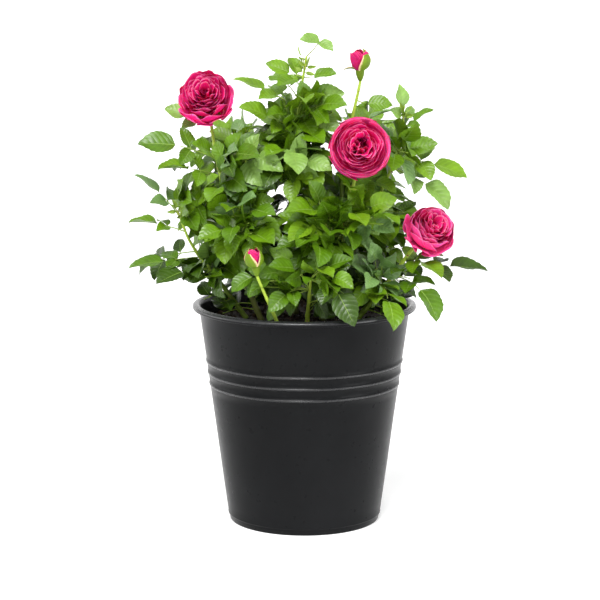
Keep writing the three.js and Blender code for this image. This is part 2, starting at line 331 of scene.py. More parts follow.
def hand_over(piece: bpy.types.Object, slot: str, *nodes: str) -> None:
    """Gives a finished piece its body and hides the frame's nodes that it stands for.

    Args:
        piece: The finished piece.
        slot: The record's material slot; not used.
        *nodes: The frame's nodes that it replaces.
    """
    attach(piece, BODY)
    if nodes:
        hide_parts(*nodes)
    LOG.info("%s: %d faces", piece.name, len(piece.data.polygons))


# ----- Finishes -----


class Shader:
    """A short way to write a material's nodes."""

    def __init__(self, name: str) -> None:
        """Starts a material with a Principled shader.

        Args:
            name: The material's name.
        """
        self.material = bpy.data.materials.new(name)
        self.material.use_nodes = True
        self.tree = self.material.node_tree
        self.shader = self.tree.nodes["Principled BSDF"]
        self.coordinates = self.tree.nodes.new("ShaderNodeTexCoord")

    def feed(self, socket: bpy.types.NodeSocket, value: object) -> None:
        """Joins an output to an input socket, or sets the input to a plain value.

        Args:
            socket: The input socket.
            value: The output socket or the value.
        """
        if isinstance(value, bpy.types.NodeSocket):
            self.tree.links.new(value, socket)
        else:
            socket.default_value = value

    def node(self, kind: str, **inputs: object) -> bpy.types.Node:
        """Adds a node.

        Args:
            kind: The node's type name without its ShaderNode prefix.
            **inputs: What its sockets take, by name, with underscores for spaces.

        Returns:
            The new node.
        """
        made = self.tree.nodes.new("ShaderNode" + kind)
        for key, value in inputs.items():
            self.feed(made.inputs[key.replace("_", " ")], value)
        return made

    def ramp(self, factor: bpy.types.NodeSocket,
             stops: Sequence[tuple[float, Colour]]) -> bpy.types.NodeSocket:
        """Adds a colour ramp.

        Args:
            factor: What the ramp reads.
            stops: Pairs of place and colour.

        Returns:
            The ramp's colour output.
        """
        made = self.node("ValToRGB", Fac=factor)
        stretch = made.color_ramp.elements
        while len(stretch) < len(stops):
            stretch.new(1.0)
        for stop, (place, colour) in zip(stretch, stops):
            stop.position = place
            stop.color = (*colour, 1.0)
        return made.outputs["Color"]

    def noise(self, scale: float, detail: float = 3.0) -> bpy.types.NodeSocket:
        """Adds noise on the object's own coordinates.

        Args:
            scale: Its fineness, in waves to the metre.
            detail: How many finer layers it has.

        Returns:
            The noise's factor output.
        """
        made = self.node("TexNoise", Vector=self.coordinates.outputs["Object"],
                         Scale=scale, Detail=detail)
        return made.outputs["Fac"]

    def pattern(self, axis: str) -> bpy.types.NodeSocket:
        """Returns the piece's own pattern place along one axis, X across or Y along."""
        return self.node("SeparateXYZ", Vector=self.coordinates.outputs["UV"]).outputs[axis]

    def streaks(self, scale: float, detail: float,
                stretch: tuple[float, float, float]) -> bpy.types.NodeSocket:
        """Adds noise that is drawn out along the piece's own pattern.

        Args:
            scale: The noise's scale.
            detail: Its detail.
            stretch: How often it repeats across, along and through the pattern.

        Returns:
            Its value, about one half.
        """
        places = self.node("Mapping", Vector=self.coordinates.outputs["UV"], Scale=stretch)
        return self.node("TexNoise", Scale=scale, Detail=detail,
                         Vector=places.outputs["Vector"]).outputs["Fac"]

    def math(self, operation: str, *values: object) -> bpy.types.NodeSocket:
        """Adds a Math node.

        Args:
            operation: The name of what it works out.
            *values: Its inputs, each a number or an output socket.

        Returns:
            The result's socket.
        """
        made = self.node("Math")
        made.operation = operation
        for socket, value in zip(made.inputs, values):
            self.feed(socket, value)
        return made.outputs["Value"]

    def bump(self, height: bpy.types.NodeSocket, strength: float, distance: float) -> None:
        """Joins a bump to the shader.

        Args:
            height: What the relief follows.
            strength: How much of it shows.
            distance: Its full height in metres.
        """
        made = self.node("Bump", Height=height, Strength=strength, Distance=distance)
        self.tree.links.new(made.outputs["Normal"], self.shader.inputs["Normal"])

    def wear(self, colour: bpy.types.NodeSocket | Colour,
             roughness: bpy.types.NodeSocket | float, **sockets: float) -> bpy.types.Material:
        """Sets the shader's colour, roughness and plain sockets.

        Args:
            colour: The base colour, or what gives it.
            roughness: The roughness, or what gives it.
            **sockets: Other sockets by name, with underscores for spaces.

        Returns:
            The finished material.
        """
        if isinstance(colour, tuple):
            colour = (*colour, 1.0)
        for name, value in {"Base_Color": colour, "Roughness": roughness, **sockets}.items():
            self.feed(self.shader.inputs[name.replace("_", " ")], value)
        return self.material


def shade(colour: Colour, factor: float) -> Colour:
    """Returns a colour made lighter or darker by a factor."""
    return tuple(min(1.0, part * factor) for part in colour)


@dataclass(frozen=True)
class MouldedPlastic:
    """The pot's charcoal polypropylene, satin, with a fine moulded grain and soft scuffs."""

    name: str = "charcoal_moulded_plastic"
    colour: Colour = (0.0066, 0.0069, 0.0074)
    roughness: float = 0.3
    gloss: float = 0.06

    def make(self) -> bpy.types.Material:
        """Builds the material."""
        s = Shader(self.name)
        cloudy = s.noise(9.0, 4.0)
        scuffs = s.noise(160.0, 6.0)
        colour = s.ramp(cloudy, [(0.35, shade(self.colour, 0.85)), (0.7, shade(self.colour, 1.3))])
        rough = s.math("MULTIPLY_ADD", scuffs, 0.16, self.roughness - 0.08)
        s.bump(s.noise(1500.0, 2.0), 0.07, 0.0002)
        return s.wear(colour, rough, Specular_IOR_Level=self.gloss)


@dataclass(frozen=True)
class LooseFinish:
    """What lies loose in the pot: moist, crumbly compost, or the moss that grows on it."""

    name: str
    colours: Sequence[tuple[float, Colour]]
    fineness: float
    detail: float
    relief: tuple[float, float]
    roughness: float

    def make(self) -> bpy.types.Material:
        """Builds the material."""
        s = Shader(self.name)
        crumbs = s.noise(self.fineness, self.detail)
        colour = s.ramp(crumbs, self.colours)
        s.bump(crumbs, *self.relief)
        return s.wear(colour, self.roughness)


class LeafTone(Enum):
    """The greens that leaves come in, dealt out by spray."""

    DEEP = (0.060, 0.136, 0.002)
    FULL = (0.090, 0.188, 0.003)
    MID = (0.114, 0.220, 0.006)
    FRESH = (0.158, 0.278, 0.050)
    COOL = (0.116, 0.212, 0.060)
    YOUNG = (0.220, 0.340, 0.035)
    # A near-black green that paints shade on the low leaves just above the compost.
    DARK = (0.028, 0.066, 0.001)


@dataclass(frozen=True)
class LeafFinish:
    """A rose leaf: satin, softly mottled, with sunken side veins."""

    tone: LeafTone
    roughness: float = 0.36
    gloss: float = 0.4
    veins: float = 6.5

    def make(self) -> bpy.types.Material:
        """Builds the material."""
        s = Shader("leaf_" + self.tone.name.lower())
        across = s.math("ABSOLUTE", s.math("SUBTRACT", s.pattern("X"), 0.5))
        slanted = s.math("SUBTRACT", s.pattern("Y"), s.math("MULTIPLY", across, 0.55))
        waves = s.math("PINGPONG", s.math("MULTIPLY", slanted, 2 * self.veins), 1.0)
        sunken = s.math("POWER", waves, 0.45)
        mottle = s.noise(90.0, 3.0)
        tone = self.tone.value
        body = s.ramp(mottle, [(0.3, shade(tone, 0.78)), (0.72, shade(tone, 1.25))])
        vein = s.math("MULTIPLY", s.math("SUBTRACT", 1.0, sunken), 0.45)
        mix = s.node("MixRGB", Fac=vein, Color1=body, Color2=(*shade(tone, 1.5), 1.0))
        s.bump(sunken, 0.5, 0.0005)
        rough = s.math("MULTIPLY_ADD", mottle, 0.14, self.roughness - 0.07)
        return s.wear(mix.outputs["Color"], rough, Specular_IOR_Level=self.gloss)


@dataclass(frozen=True)
class StemFinish:
    """Green rose wood or a leaf's stalk, faintly streaked and flushed."""

    name: str
    colour: Colour
    flush: Colour
    roughness: float = 0.5

    def make(self) -> bpy.types.Material:
        """Builds the material."""
        s = Shader(self.name)
        streaks = s.streaks(9.0, 4.0, (5.0, 30.0, 1.0))
        patches = s.noise(35.0, 2.0)
        blend = s.math("MULTIPLY", streaks, patches)
        colour = s.ramp(blend, [(0.12, shade(self.colour, 0.8)), (0.28, self.colour),
                                (0.45, self.flush)])
        s.bump(streaks, 0.5, 0.0003)
        return s.wear(colour, self.roughness, Specular_IOR_Level=0.2)


@dataclass(frozen=True)
class CaneFinish:
    """Rose wood that is bright green near its tip and olive brown at its foot."""

    tip: Colour = (0.33, 0.46, 0.045)
    middle: Colour = (0.15, 0.24, 0.025)
    foot: Colour = (0.11, 0.12, 0.03)
    reach: float = 0.22

    def make(self) -> bpy.types.Material:
        """Builds the material, which reads the distance from the tip in the pattern."""
        s = Shader("rose_wood")
        streaks = s.streaks(9.0, 4.0, (5.0, 30.0, 1.0))
        age = s.math("DIVIDE", s.pattern("Y"), self.reach)
        worn = s.math("MULTIPLY_ADD", s.math("SUBTRACT", streaks, 0.5), 0.5, age)
        colour = s.ramp(worn, [(0.12, self.tip), (0.42, self.middle), (1.0, self.foot)])
        s.bump(streaks, 0.5, 0.0004)
        return s.wear(colour, 0.48, Specular_IOR_Level=0.25)


@dataclass(frozen=True)
class PetalFinish:
    """A velvety petal, darker at its foot as painted shade deep in the bloom, with a painted
    highlight along its rim.
    """

    name: str
    foot: Colour
    body: Colour
    rim: Colour

    def make(self) -> bpy.types.Material:
        """Builds the material."""
        s = Shader(self.name)
        fine = s.streaks(3.0, 3.0, (14.0, 2.0, 1.0))
        height = s.math("ADD", s.pattern("Y"),
                        s.math("MULTIPLY", s.math("SUBTRACT", fine, 0.5), 0.12))
        # The dark foot is painted shade and the thin light rim a painted highlight.
        colour = s.ramp(height, [(0.08, self.foot), (0.5, self.body), (0.93, self.body),
                                 (0.985, self.rim)])
        s.bump(fine, 0.3, 0.0005)
        return s.wear(colour, 0.6, Specular_IOR_Level=0.05, Subsurface_Weight=0.5,
                      Subsurface_Scale=0.002)


@dataclass(frozen=True)
class SepalFinish:
    """A sepal: green, with a thin cream and pink felted edge."""

    green: Colour = (0.11, 0.185, 0.006)
    cream: Colour = (0.72, 0.50, 0.30)

    def make(self) -> bpy.types.Material:
        """Builds the material."""
        s = Shader("sepal_green")
        edge = s.math("ABSOLUTE", s.math("SUBTRACT", s.pattern("X"), 0.5))
        worn = s.math("MULTIPLY_ADD", s.noise(500.0), 0.08, edge)
        colour = s.ramp(worn, [(0.1, self.green), (0.40, shade(self.green, 1.2)),
                               (0.5, self.cream)])
        s.bump(s.noise(900.0), 0.4, 0.0003)
        return s.wear(colour, 0.55, Specular_IOR_Level=0.2)


@dataclass(frozen=True)
class StageFinish:
    """The plain pale floor, lit from within as a light table is."""

    colour: Colour = (0.82, 0.82, 0.82)
    glow: float = 0.3

    def make(self) -> bpy.types.Material:
        """Builds the material."""
        return Shader("pale_floor").wear(self.colour, 0.9, Emission_Color=(1.0, 1.0, 1.0, 1.0),
                                         Emission_Strength=self.glow)


# ----- What the frame says -----


def node_mesh(name: str) -> tuple[np.ndarray, np.ndarray]:
    """Reads a node of the frame.

    Args:
        name: The node's name.

    Returns:
        Its points in metres, and its triangles' corner numbers.
    """
    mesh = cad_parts[name].data
    points = np.empty(len(mesh.vertices) * 3, np.float32)
    mesh.vertices.foreach_get("co", points)
    mesh.calc_loop_triangles()
    corners = np.empty(len(mesh.loop_triangles) * 3, np.int32)
    mesh.loop_triangles.foreach_get("vertices", corners)
    return points.reshape(-1, 3).astype(float), corners.reshape(-1, 3)


def facets(points: np.ndarray, triangles: np.ndarray) -> tuple[np.ndarray, np.ndarray]:
    """Returns the middle of each triangle and twice its area."""
    corners = points[triangles]
    normals = np.cross(corners[:, 1] - corners[:, 0], corners[:, 2] - corners[:, 0])
    return corners.mean(axis=1), np.linalg.norm(normals, axis=1)


def nodes_starting(prefix: str) -> list[str]:
    """Returns the names of the frame's nodes that start so, in order."""
    return sorted(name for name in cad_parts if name.startswith(prefix))


@dataclass
class Cane:
    """One cane of the frame, as a line of points with a radius at each."""

    name: str
    line: np.ndarray
    radii: np.ndarray

    @property
    def flowering(self) -> bool:
        """Whether the cane ends in a bloom or a bud."""
        return self.name.endswith(("bloom", "bud"))

    @classmethod
    def read(cls, node: str, slices: int = 26) -> Cane:
        """Slices a cane's node at even heights to find its middle line.

        Args:
            node: The node's name.
            slices: How many heights to slice it at.

        Returns:
            The cane.
        """
        points, triangles = node_mesh(node)
        low, high = points[:, 2].min(), points[:, 2].max()
        edges = np.concatenate([triangles[:, [0, 1]], triangles[:, [1, 2]], triangles[:, [2, 0]]])
        starts, ends = points[edges[:, 0]], points[edges[:, 1]]
        line, radii = [], []
        for height in np.linspace(low + 0.5 * MM, high - 1.5 * MM, slices):
            crossing = (starts[:, 2] - height) * (ends[:, 2] - height) < 0
            share = (height - starts[crossing, 2]) / (ends[crossing, 2] - starts[crossing, 2])
            ring = starts[crossing] + share[:, None] * (ends[crossing] - starts[crossing])
            centre = (ring.min(axis=0) + ring.max(axis=0)) / 2
            line.append(centre)
            radii.append(float(np.median(np.linalg.norm(ring - centre, axis=1))))
        top = points[int(np.argmax(points[:, 2]))]
        cap = np.unique(points[np.linalg.norm(points - top, axis=1) < 3.2 * MM].round(6), axis=0)
        line = [point for point in line if np.linalg.norm(point - cap.mean(axis=0)) > 3 * MM]
        line.append(cap.mean(axis=0))
        thick, thin = np.percentile(radii, 90), np.percentile(radii, 12)
        return cls(node.removeprefix("cane_"), spaced(np.array(line), slices),
                   np.linspace(thick, thin, slices))

    def nearest(self, points: np.ndarray) -> np.ndarray:
        """Returns the point of the cane that lies nearest to any of some points."""
        apart = np.linalg.norm(self.line[:, None, :] - points[None, :, :], axis=2)
        return self.line[int(np.argmin(apart.min(axis=1)))]

    @property
    def tip(self) -> np.ndarray:
        """The cane's upper end."""
        return self.line[-1]


@dataclass
class Mass:
    """One mass of foliage of the frame: its skin, its foot on a cane, its arch and its tip."""

    name: str
    foot: np.ndarray
    bend: np.ndarray
    tip: np.ndarray
    girth: float
    shell: np.ndarray
    skin: BVHTree

    @classmethod
    def read(cls, node: str, cane: Cane) -> Mass:
        """Reads a mass that a cane carries.

        Args:
            node: The node's name.
            cane: The cane that carries it.

        Returns:
            The mass.
        """
        points, triangles = node_mesh(node)
        foot = cane.nearest(points)
        tip = points[int(np.argmax(np.linalg.norm(points - foot, axis=1)))]
        heart, weight = facets(points, triangles)
        length = float(np.linalg.norm(tip - foot))
        way = unit(tip - foot)
        share = np.clip((heart - foot) @ way / length, 0.0, 1.0)
        straight = ((1 - share) ** 2)[:, None] * foot + (share ** 2)[:, None] * tip
        pull = 2 * share * (1 - share)
        bend = (((weight * pull)[:, None] * (heart - straight)).sum(axis=0)
                / (weight * pull ** 2).sum())
        across = (points - foot) - ((points - foot) @ way)[:, None] * way
        girth = float(np.percentile(np.linalg.norm(across, axis=1), 85))
        skin = BVHTree.FromPolygons([Vector(p) for p in points], triangles.tolist())
        return cls(node, foot, bend, tip, girth, points, skin)

    @property
    def middle(self) -> np.ndarray:
        """The middle of the mass's line."""
        return (self.foot + 2 * self.bend + self.tip) / 4

    def line(self, steps: int) -> np.ndarray:
        """Returns points of the mass's middle line, from its foot to its tip."""
        return spaced(bezier(self.foot, self.bend, self.tip, 24), steps)

    def ends(self, count: int) -> list[np.ndarray]:
        """Returns places spread evenly over the mass's skin, its tip first."""
        chosen = [self.tip]
        gap = np.linalg.norm(self.shell - self.tip, axis=1)
        while len(chosen) < min(count, len(self.shell)):
            chosen.append(self.shell[int(np.argmax(gap))])
            gap = np.minimum(gap, np.linalg.norm(self.shell - chosen[-1], axis=1))
        return chosen

    def reach(self, start: np.ndarray, way: np.ndarray) -> float:
        """Returns how far the mass's skin lies from a point inside it, one way."""
        hit = self.skin.ray_cast(Vector(start), Vector(way))
        return float(hit[3]) if hit[0] is not None else 0.0

    def nears(self, place: np.ndarray, margin: float) -> bool:
        """Says whether a place lies inside the mass or less than a margin outside it."""
        spot, outward, _, away = self.skin.find_nearest(Vector(place))
        return away < margin or (Vector(place) - spot).dot(outward) < 0


@dataclass
class Flower:
    """One flower of the frame: its foot on a cane, its way, its radius and its depth."""

    name: str
    foot: np.ndarray
    way: np.ndarray
    radius: float
    depth: float

    @classmethod
    def read(cls, node: str, canes: Sequence[Cane]) -> Flower:
        """Reads a flower from the frame.

        Args:
            node: The node's name.
            canes: The plant's canes, one of which ends at its foot.

        Returns:
            The flower.
        """
        points, triangles = node_mesh(node)
        cane = min(canes, key=lambda c: float(np.linalg.norm(points - c.tip, axis=1).min()))
        foot = cane.tip
        middles, areas = facets(points, triangles)
        way = unit((middles * areas[:, None]).sum(axis=0) / areas.sum() - foot)
        along = (points - foot) @ way
        across = np.linalg.norm((points - foot) - along[:, None] * way, axis=1)
        return cls(node, foot, way, float(across.max()), float(along.max()))

    def place(self, local: np.ndarray, tilt: np.ndarray) -> np.ndarray:
        """Carries points from the flower's own axes to the frame.

        Args:
            local: Points whose third number runs along the flower's way from its foot.
            tilt: The wish for the flower's own first axis.

        Returns:
            The points in the frame.
        """
        side = square_to(self.way, tilt)
        over = np.cross(self.way, side)
        return (self.foot + local[:, :1] * side + local[:, 1:2] * over + local[:, 2:] * self.way)


# ----- Pot and compost -----


@dataclass
class Pot:
    """The round plastic pot: thin conical wall, three ridges, rolled lip and stepped foot.

    Attributes:
        sides: How many sides the round wall has.
        lip: Depth of the rolled lip, in metres.
        wall: Thickness of the wall.
        floor: Thickness of the floor.
        ridges: Heights of the three ridges, as parts of the pot's height.
        ridge_proud: How far a ridge stands out.
        ridge_half: Half of a ridge's height.
        foot: Height of the foot band.
        plate: Radius of the middle of the floor, which has the drain holes.
        drains: How many drain holes there are.
    """

    sides: int = 160
    lip: float = 6 * MM
    wall: float = 1.8 * MM
    floor: float = 3 * MM
    ridges: tuple[float, ...] = (137.5 / 217, 149 / 217, 160.3 / 217)
    ridge_proud: float = 0.95 * MM
    ridge_half: float = 1.2 * MM
    foot: float = 7 * MM
    plate: float = 52 * MM
    drains: int = 6

    def __post_init__(self) -> None:
        """Takes the pot's height, rim and wall from the frame."""
        points, _ = node_mesh("pot")
        self.height = float(points[:, 2].max())
        reach = np.linalg.norm(points[:, :2], axis=1)
        self.rim = float(reach.max())
        low = reach[points[:, 2] < self.foot + 0.5 * MM].max()
        high = reach[(points[:, 2] > self.height - self.lip - 2 * MM)
                     & (points[:, 2] < self.height - self.lip + 0.3 * MM)
                     & (reach < self.rim - 4 * MM)].max()
        self.base = float(low)
        self.slope = float(high - low) / (self.height - self.lip - self.foot)

    def radius(self, height: float) -> float:
        """Returns the wall's outside radius at a height."""
        return self.base + self.slope * (height - self.foot)

    def ridge(self, height: float) -> list[tuple[float, float]]:
        """Returns the outline of one ridge, a soft half-round bead on the wall."""
        outline = []
        for angle in np.linspace(-math.pi / 2, math.pi / 2, 9):
            level = height + self.ridge_half * math.sin(angle)
            swell = self.ridge_proud * math.cos(angle) ** 1.3
            outline.append((self.radius(level) + swell, level))
        return outline

    def outline(self) -> np.ndarray:
        """Returns the pot's outline, from the underside round the lip to the inside floor."""
        foot, lip = self.foot, self.lip
        under = self.height - lip
        rows = [(self.plate, 0.0), (self.radius(0) - 2.2 * MM, 0.0),
                (self.radius(0) - 1.2 * MM, 0.4 * MM), (self.radius(1.4 * MM) - 0.9 * MM, 1.4 * MM),
                (self.radius(foot) - 0.9 * MM, foot - 1.4 * MM),
                (self.radius(foot) - 0.7 * MM, foot - 0.7 * MM),
                (self.radius(foot) + 0.2 * MM, foot - 0.3 * MM),
                (self.radius(foot) + 0.35 * MM, foot + 0.3 * MM),
                (self.radius(foot + 1 * MM), foot + 1 * MM)]
        rows += [(self.radius(level), level) for level in np.linspace(16, 128, 8) * MM]
        for share in self.ridges:
            rows += self.ridge(share * self.height)
        rows += [(self.radius(level), level) for level in (166 * MM, 180 * MM, 196 * MM)]
        rows += [(self.radius(under - 1 * MM), under - 1 * MM),
                 (self.radius(under) + 0.3 * MM, under - 0.2 * MM),
                 (self.radius(under) + 1.2 * MM, under)]
        for angle in np.linspace(-90, 90, 11):
            turn = math.radians(angle)
            rows.append((self.rim - 1.8 * MM + 1.8 * MM * math.cos(turn),
                         self.height - lip / 2 + 2.2 * MM * math.sin(turn)))
        rows += [(self.rim - 3.4 * MM, self.height - 0.3 * MM),
                 (self.rim - 4.8 * MM, self.height),
                 (self.rim - 6.2 * MM, self.height - 0.6 * MM),
                 (self.radius(under) - self.wall + 0.5 * MM, self.height - 2.2 * MM),
                 (self.radius(under) - self.wall, under)]
        rows += [(self.radius(level) - self.wall, level)
                 for level in np.linspace(under - 4 * MM, self.floor + 2 * MM, 12)]
        rows += [(self.radius(self.floor) - self.wall - 2 * MM, self.floor),
                 (self.plate, self.floor)]
        return np.array(rows)

    def floor_plate(self, finish: bpy.types.Material) -> Patchwork:
        """Builds the middle of the floor, a plate with drain holes through it.

        Args:
            finish: The pot's material.

        Returns:
            The patchwork that holds the plate.
        """
        plate = Patchwork("pot_floor_plate", [finish])
        hub, hole, middle = 40 * MM, 4.5 * MM, 46 * MM
        steps = 96
        turn = circle(steps)
        inner, outside = np.full(steps, hub), np.full(steps, self.plate)
        sector = 2 * math.pi / self.drains
        offset = (turn % sector) - sector / 2
        reach = hole / middle
        inside = np.abs(offset) < reach
        half = hole * np.sqrt(np.clip(1 - (offset / reach) ** 2, 0, 1))
        low = np.where(inside, middle - half, middle)
        high = np.where(inside, middle + half, middle)
        for start, end in ((inner, low), (high, outside)):
            points = np.concatenate([ring(turn, radius, level) for level, radius in (
                (0.0, start), (0.0, end), (self.floor, end), (self.floor, start), (0.0, start))])
            faces = grid_faces(5, steps, wrap=True)[:, ::-1]
            plate.add(points, [faces], np.zeros((len(points), 2)))
        plate.add(*lathe(np.array([(hub, 0.0), (hub, self.floor)]), steps))
        return plate

    def build(self) -> None:
        """Builds the pot and hands it over."""
        finish = MouldedPlastic().make()
        # A lighter, glossier copy of the plastic for the ridges, the lip's edge and the foot line:
        # its lighter colour is a painted highlight, and its gloss is the surface's own.
        painted_highlight = MouldedPlastic("rubbed_plastic", (0.015, 0.0155, 0.0165), 0.28, 0.4).make()
        outline = self.outline()
        proud = ((outline[:, 0] - self.radius(outline[:, 1]) > 0.3 * MM)
                 & (outline[:, 1] > self.foot + 1 * MM)
                 & (np.abs(outline[:, 1] - self.height + 0.8 * self.lip) > 0.4 * self.lip))
        shell = Patchwork("pot_shell", [finish, painted_highlight])
        points, faces, places = lathe(outline, self.sides)
        shell.add(points, faces[:1], places, np.repeat(proud[:-1] | proud[1:], self.sides))
        hand_over(shell.build(), "pot", "pot")
        hand_over(self.floor_plate(finish).build(smooth=False), "pot")


class ScatterTree:
    """A Geometry Nodes tree that scatters small solids over a surface."""

    def __init__(self, name: str, upright: bool) -> None:
        """Builds the tree.

        Args:
            name: The tree's name.
            upright: Whether each solid stands along the surface's normal.
        """
        self.tree = bpy.data.node_groups.new(name, "GeometryNodeTree")
        face = self.tree.interface
        face.new_socket("Geometry", in_out="INPUT", socket_type="NodeSocketGeometry")
        self.sockets = {
            label: face.new_socket(label, in_out="INPUT", socket_type=kind).identifier
            for label, kind in (("Solid", "NodeSocketObject"), ("Density", "NodeSocketFloat"),
                                ("Smallest", "NodeSocketFloat"), ("Largest", "NodeSocketFloat"),
                                ("Seed", "NodeSocketInt"), ("Finish", "NodeSocketMaterial"))}
        face.new_socket("Geometry", in_out="OUTPUT", socket_type="NodeSocketGeometry")
        add, join = self.tree.nodes.new, self.tree.links.new
        given, result = add("NodeGroupInput"), add("NodeGroupOutput")
        spread = add("GeometryNodeDistributePointsOnFaces")
        solid = add("GeometryNodeObjectInfo")
        sizes = add("FunctionNodeRandomValue")
        stand = add("GeometryNodeInstanceOnPoints")
        realize = add("GeometryNodeRealizeInstances")
        dress = add("GeometryNodeSetMaterial")
        for start, out, end, into in (
                (given, "Geometry", spread, "Mesh"), (given, "Density", spread, "Density"),
                (given, "Seed", spread, "Seed"), (given, "Solid", solid, "Object"),
                (spread, "Points", stand, "Points"), (solid, "Geometry", stand, "Instance"),
                (given, "Smallest", sizes, 2), (given, "Largest", sizes, 3),
                (given, "Seed", sizes, "Seed"), (sizes, 1, stand, "Scale"),
                (stand, "Instances", realize, "Geometry"),
                (realize, "Geometry", dress, "Geometry"), (given, "Finish", dress, "Material"),
                (dress, "Geometry", result, "Geometry")):
            join(start.outputs[out], end.inputs[into])
        if upright:
            join(spread.outputs["Rotation"], stand.inputs["Rotation"])
        else:
            tumble = add("FunctionNodeRandomValue")
            tumble.data_type = "FLOAT_VECTOR"
            tumble.inputs[1].default_value = (2 * math.pi,) * 3
            join(given.outputs["Seed"], tumble.inputs["Seed"])
            join(tumble.outputs[0], stand.inputs["Rotation"])

    def scatter(self, name: str, surface: bpy.types.Object, **inputs: object) -> bpy.types.Object:
        """Scatters solids over a surface and returns them as a plain mesh piece.

        Args:
            name: The new piece's name.
            surface: The object whose faces carry the solids.
            **inputs: The tree's inputs by name.

        Returns:
            The new piece. The surface is left as it was.
        """
        layer = surface.modifiers.new(name, "NODES")
        layer.node_group = self.tree
        for label, value in inputs.items():
            layer[self.sockets[label]] = value
        ready = surface.evaluated_get(bpy.context.evaluated_depsgraph_get())
        mesh = bpy.data.meshes.new_from_object(ready)
        mesh.name = name
        surface.modifiers.remove(layer)
        return put(name, mesh)


def crumb(name: str, seed: int, flat: float) -> bpy.types.Object:
    """Makes one uneven crumb about a metre across, to be scattered small.

    Args:
        name: Its name.
        seed: What its lumps are drawn from.
        flat: Its thickness as a part of its width.

    Returns:
        The crumb, which is removed once it has been scattered.
    """
    rng = np.random.default_rng(seed)
    points, faces, _ = lathe(np.array([(0.28, -0.42 * flat), (0.5, 0.0), (0.3, 0.4 * flat)]), 6)
    points *= rng.uniform(0.7, 1.25, (len(points), 1))
    lump = Patchwork(name, [])
    lump.add(points, faces, np.zeros((len(points), 2)))
    return lump.build(smooth=False)


@dataclass
class CompostBed:
    """The compost in the pot: a low, lumpy bed with crumbs, bark chips and a little moss.

    Attributes:
        rings: How many rings of points its surface has.
        sides: How many points a ring has.
        lumps: How high it swells.
        crumbs: How many crumbs there are on a square metre.
        chips: How many bark chips.
        tufts: How many moss tufts.
    """

    rings: int = 26
    sides: int = 96
    lumps: float = 1.6 * MM
    crumbs: float = 26000.0
    chips: float = 3200.0
    tufts: float = 10400.0

    def surface(self, finish: bpy.types.Material) -> bpy.types.Object:
        """Builds the bed, from its uneven surface down to the pot's floor.

        Args:
            finish: Its material.

        Returns:
            The bed.
        """
        low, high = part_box("soil")
        radius = float(high.x) - 0.6 * MM
        turn = circle(self.sides)
        rows = []
        for share in np.linspace(0.012, 1.0, self.rings):
            height = float(high.z) - 3 * MM * max(0.0, share - 0.8) / 0.2
            wave = (np.sin(7 * turn + 9 * share) + np.sin(11 * turn - 14 * share)
                    + np.sin(4 * turn + 23 * share))
            level = height + self.lumps * wave / 3 * (1 - 0.4 * share) - 0.8 * MM
            rows.append(ring(turn, radius * share, level))
        rows.append(ring(turn, radius * 0.72, float(low.z)))
        bed = Patchwork("compost_bed", [finish])
        points, faces, _ = capped(rows, rows)
        bed.add(points, [corners[:, ::-1] for corners in faces], points[:, :2] * 10)
        return bed.build()

    def sheet(self, share: float, heading: float) -> bpy.types.Object:
        """Makes a flat disc over the bed for things to be scattered on.

        Args:
            share: Its radius as a part of the bed's.
            heading: The side it is moved to, in radians.

        Returns:
            The disc, which is removed once it has been used.
        """
        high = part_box("soil")[1]
        radius = float(high.x) * share
        away = float(high.x) * (0.95 - share)
        points = ring(circle(32), radius, float(high.z) - 0.4 * MM)
        points[:, :2] += away * np.array([math.cos(heading), math.sin(heading)])
        disc = Patchwork("scatter_disc", [])
        disc.add(points, [np.arange(len(points))[None, :]], points[:, :2])
        return disc.build()

    def build(self) -> None:
        """Builds the bed and what lies on it, and hands them over."""
        dark = LooseFinish("moist_compost", [
            (0.3, (0.012, 0.008, 0.005)), (0.62, (0.045, 0.0276, 0.0156)),
            (0.8, (0.075, 0.046, 0.026))], 220.0, 8.0, (0.9, 0.002), 0.92).make()
        moss = LooseFinish("compost_moss", [
            (0.3, (0.03, 0.05, 0.008)), (0.75, (0.13, 0.16, 0.03))],
            400.0, 4.0, (0.8, 0.0015), 0.9).make()
        bed = self.surface(dark)
        hand_over(bed, "soil", "soil")
        tree = ScatterTree("scatter_crumbs", upright=False)
        grain = crumb("crumb", 3, 0.8)
        chip = crumb("chip", 5, 0.35)
        whole = self.sheet(0.94, 0.0)
        patch = self.sheet(0.5, math.radians(-38))
        kinds = (
            ("compost_crumbs", whole, grain, self.crumbs, 1.2, 3.6, 11, dark),
            ("bark_chips", whole, chip, self.chips, 4.0, 8.5, 12, StemFinish(
                "bark_chip", (0.05, 0.03, 0.016), (0.10, 0.062, 0.036), 0.85).make()),
            ("moss_tufts", patch, grain, self.tufts, 2.0, 4.5, 13, moss),
        )
        for name, ground, solid, density, small, large, seed, finish in kinds:
            piece = tree.scatter(name, ground, Solid=solid, Density=density,
                                 Smallest=small * MM, Largest=large * MM, Seed=seed,
                                 Finish=finish)
            hand_over(piece, "soil")
        for spare in (grain, chip, whole, patch):
            bpy.data.objects.remove(spare)


# ----- Canes -----


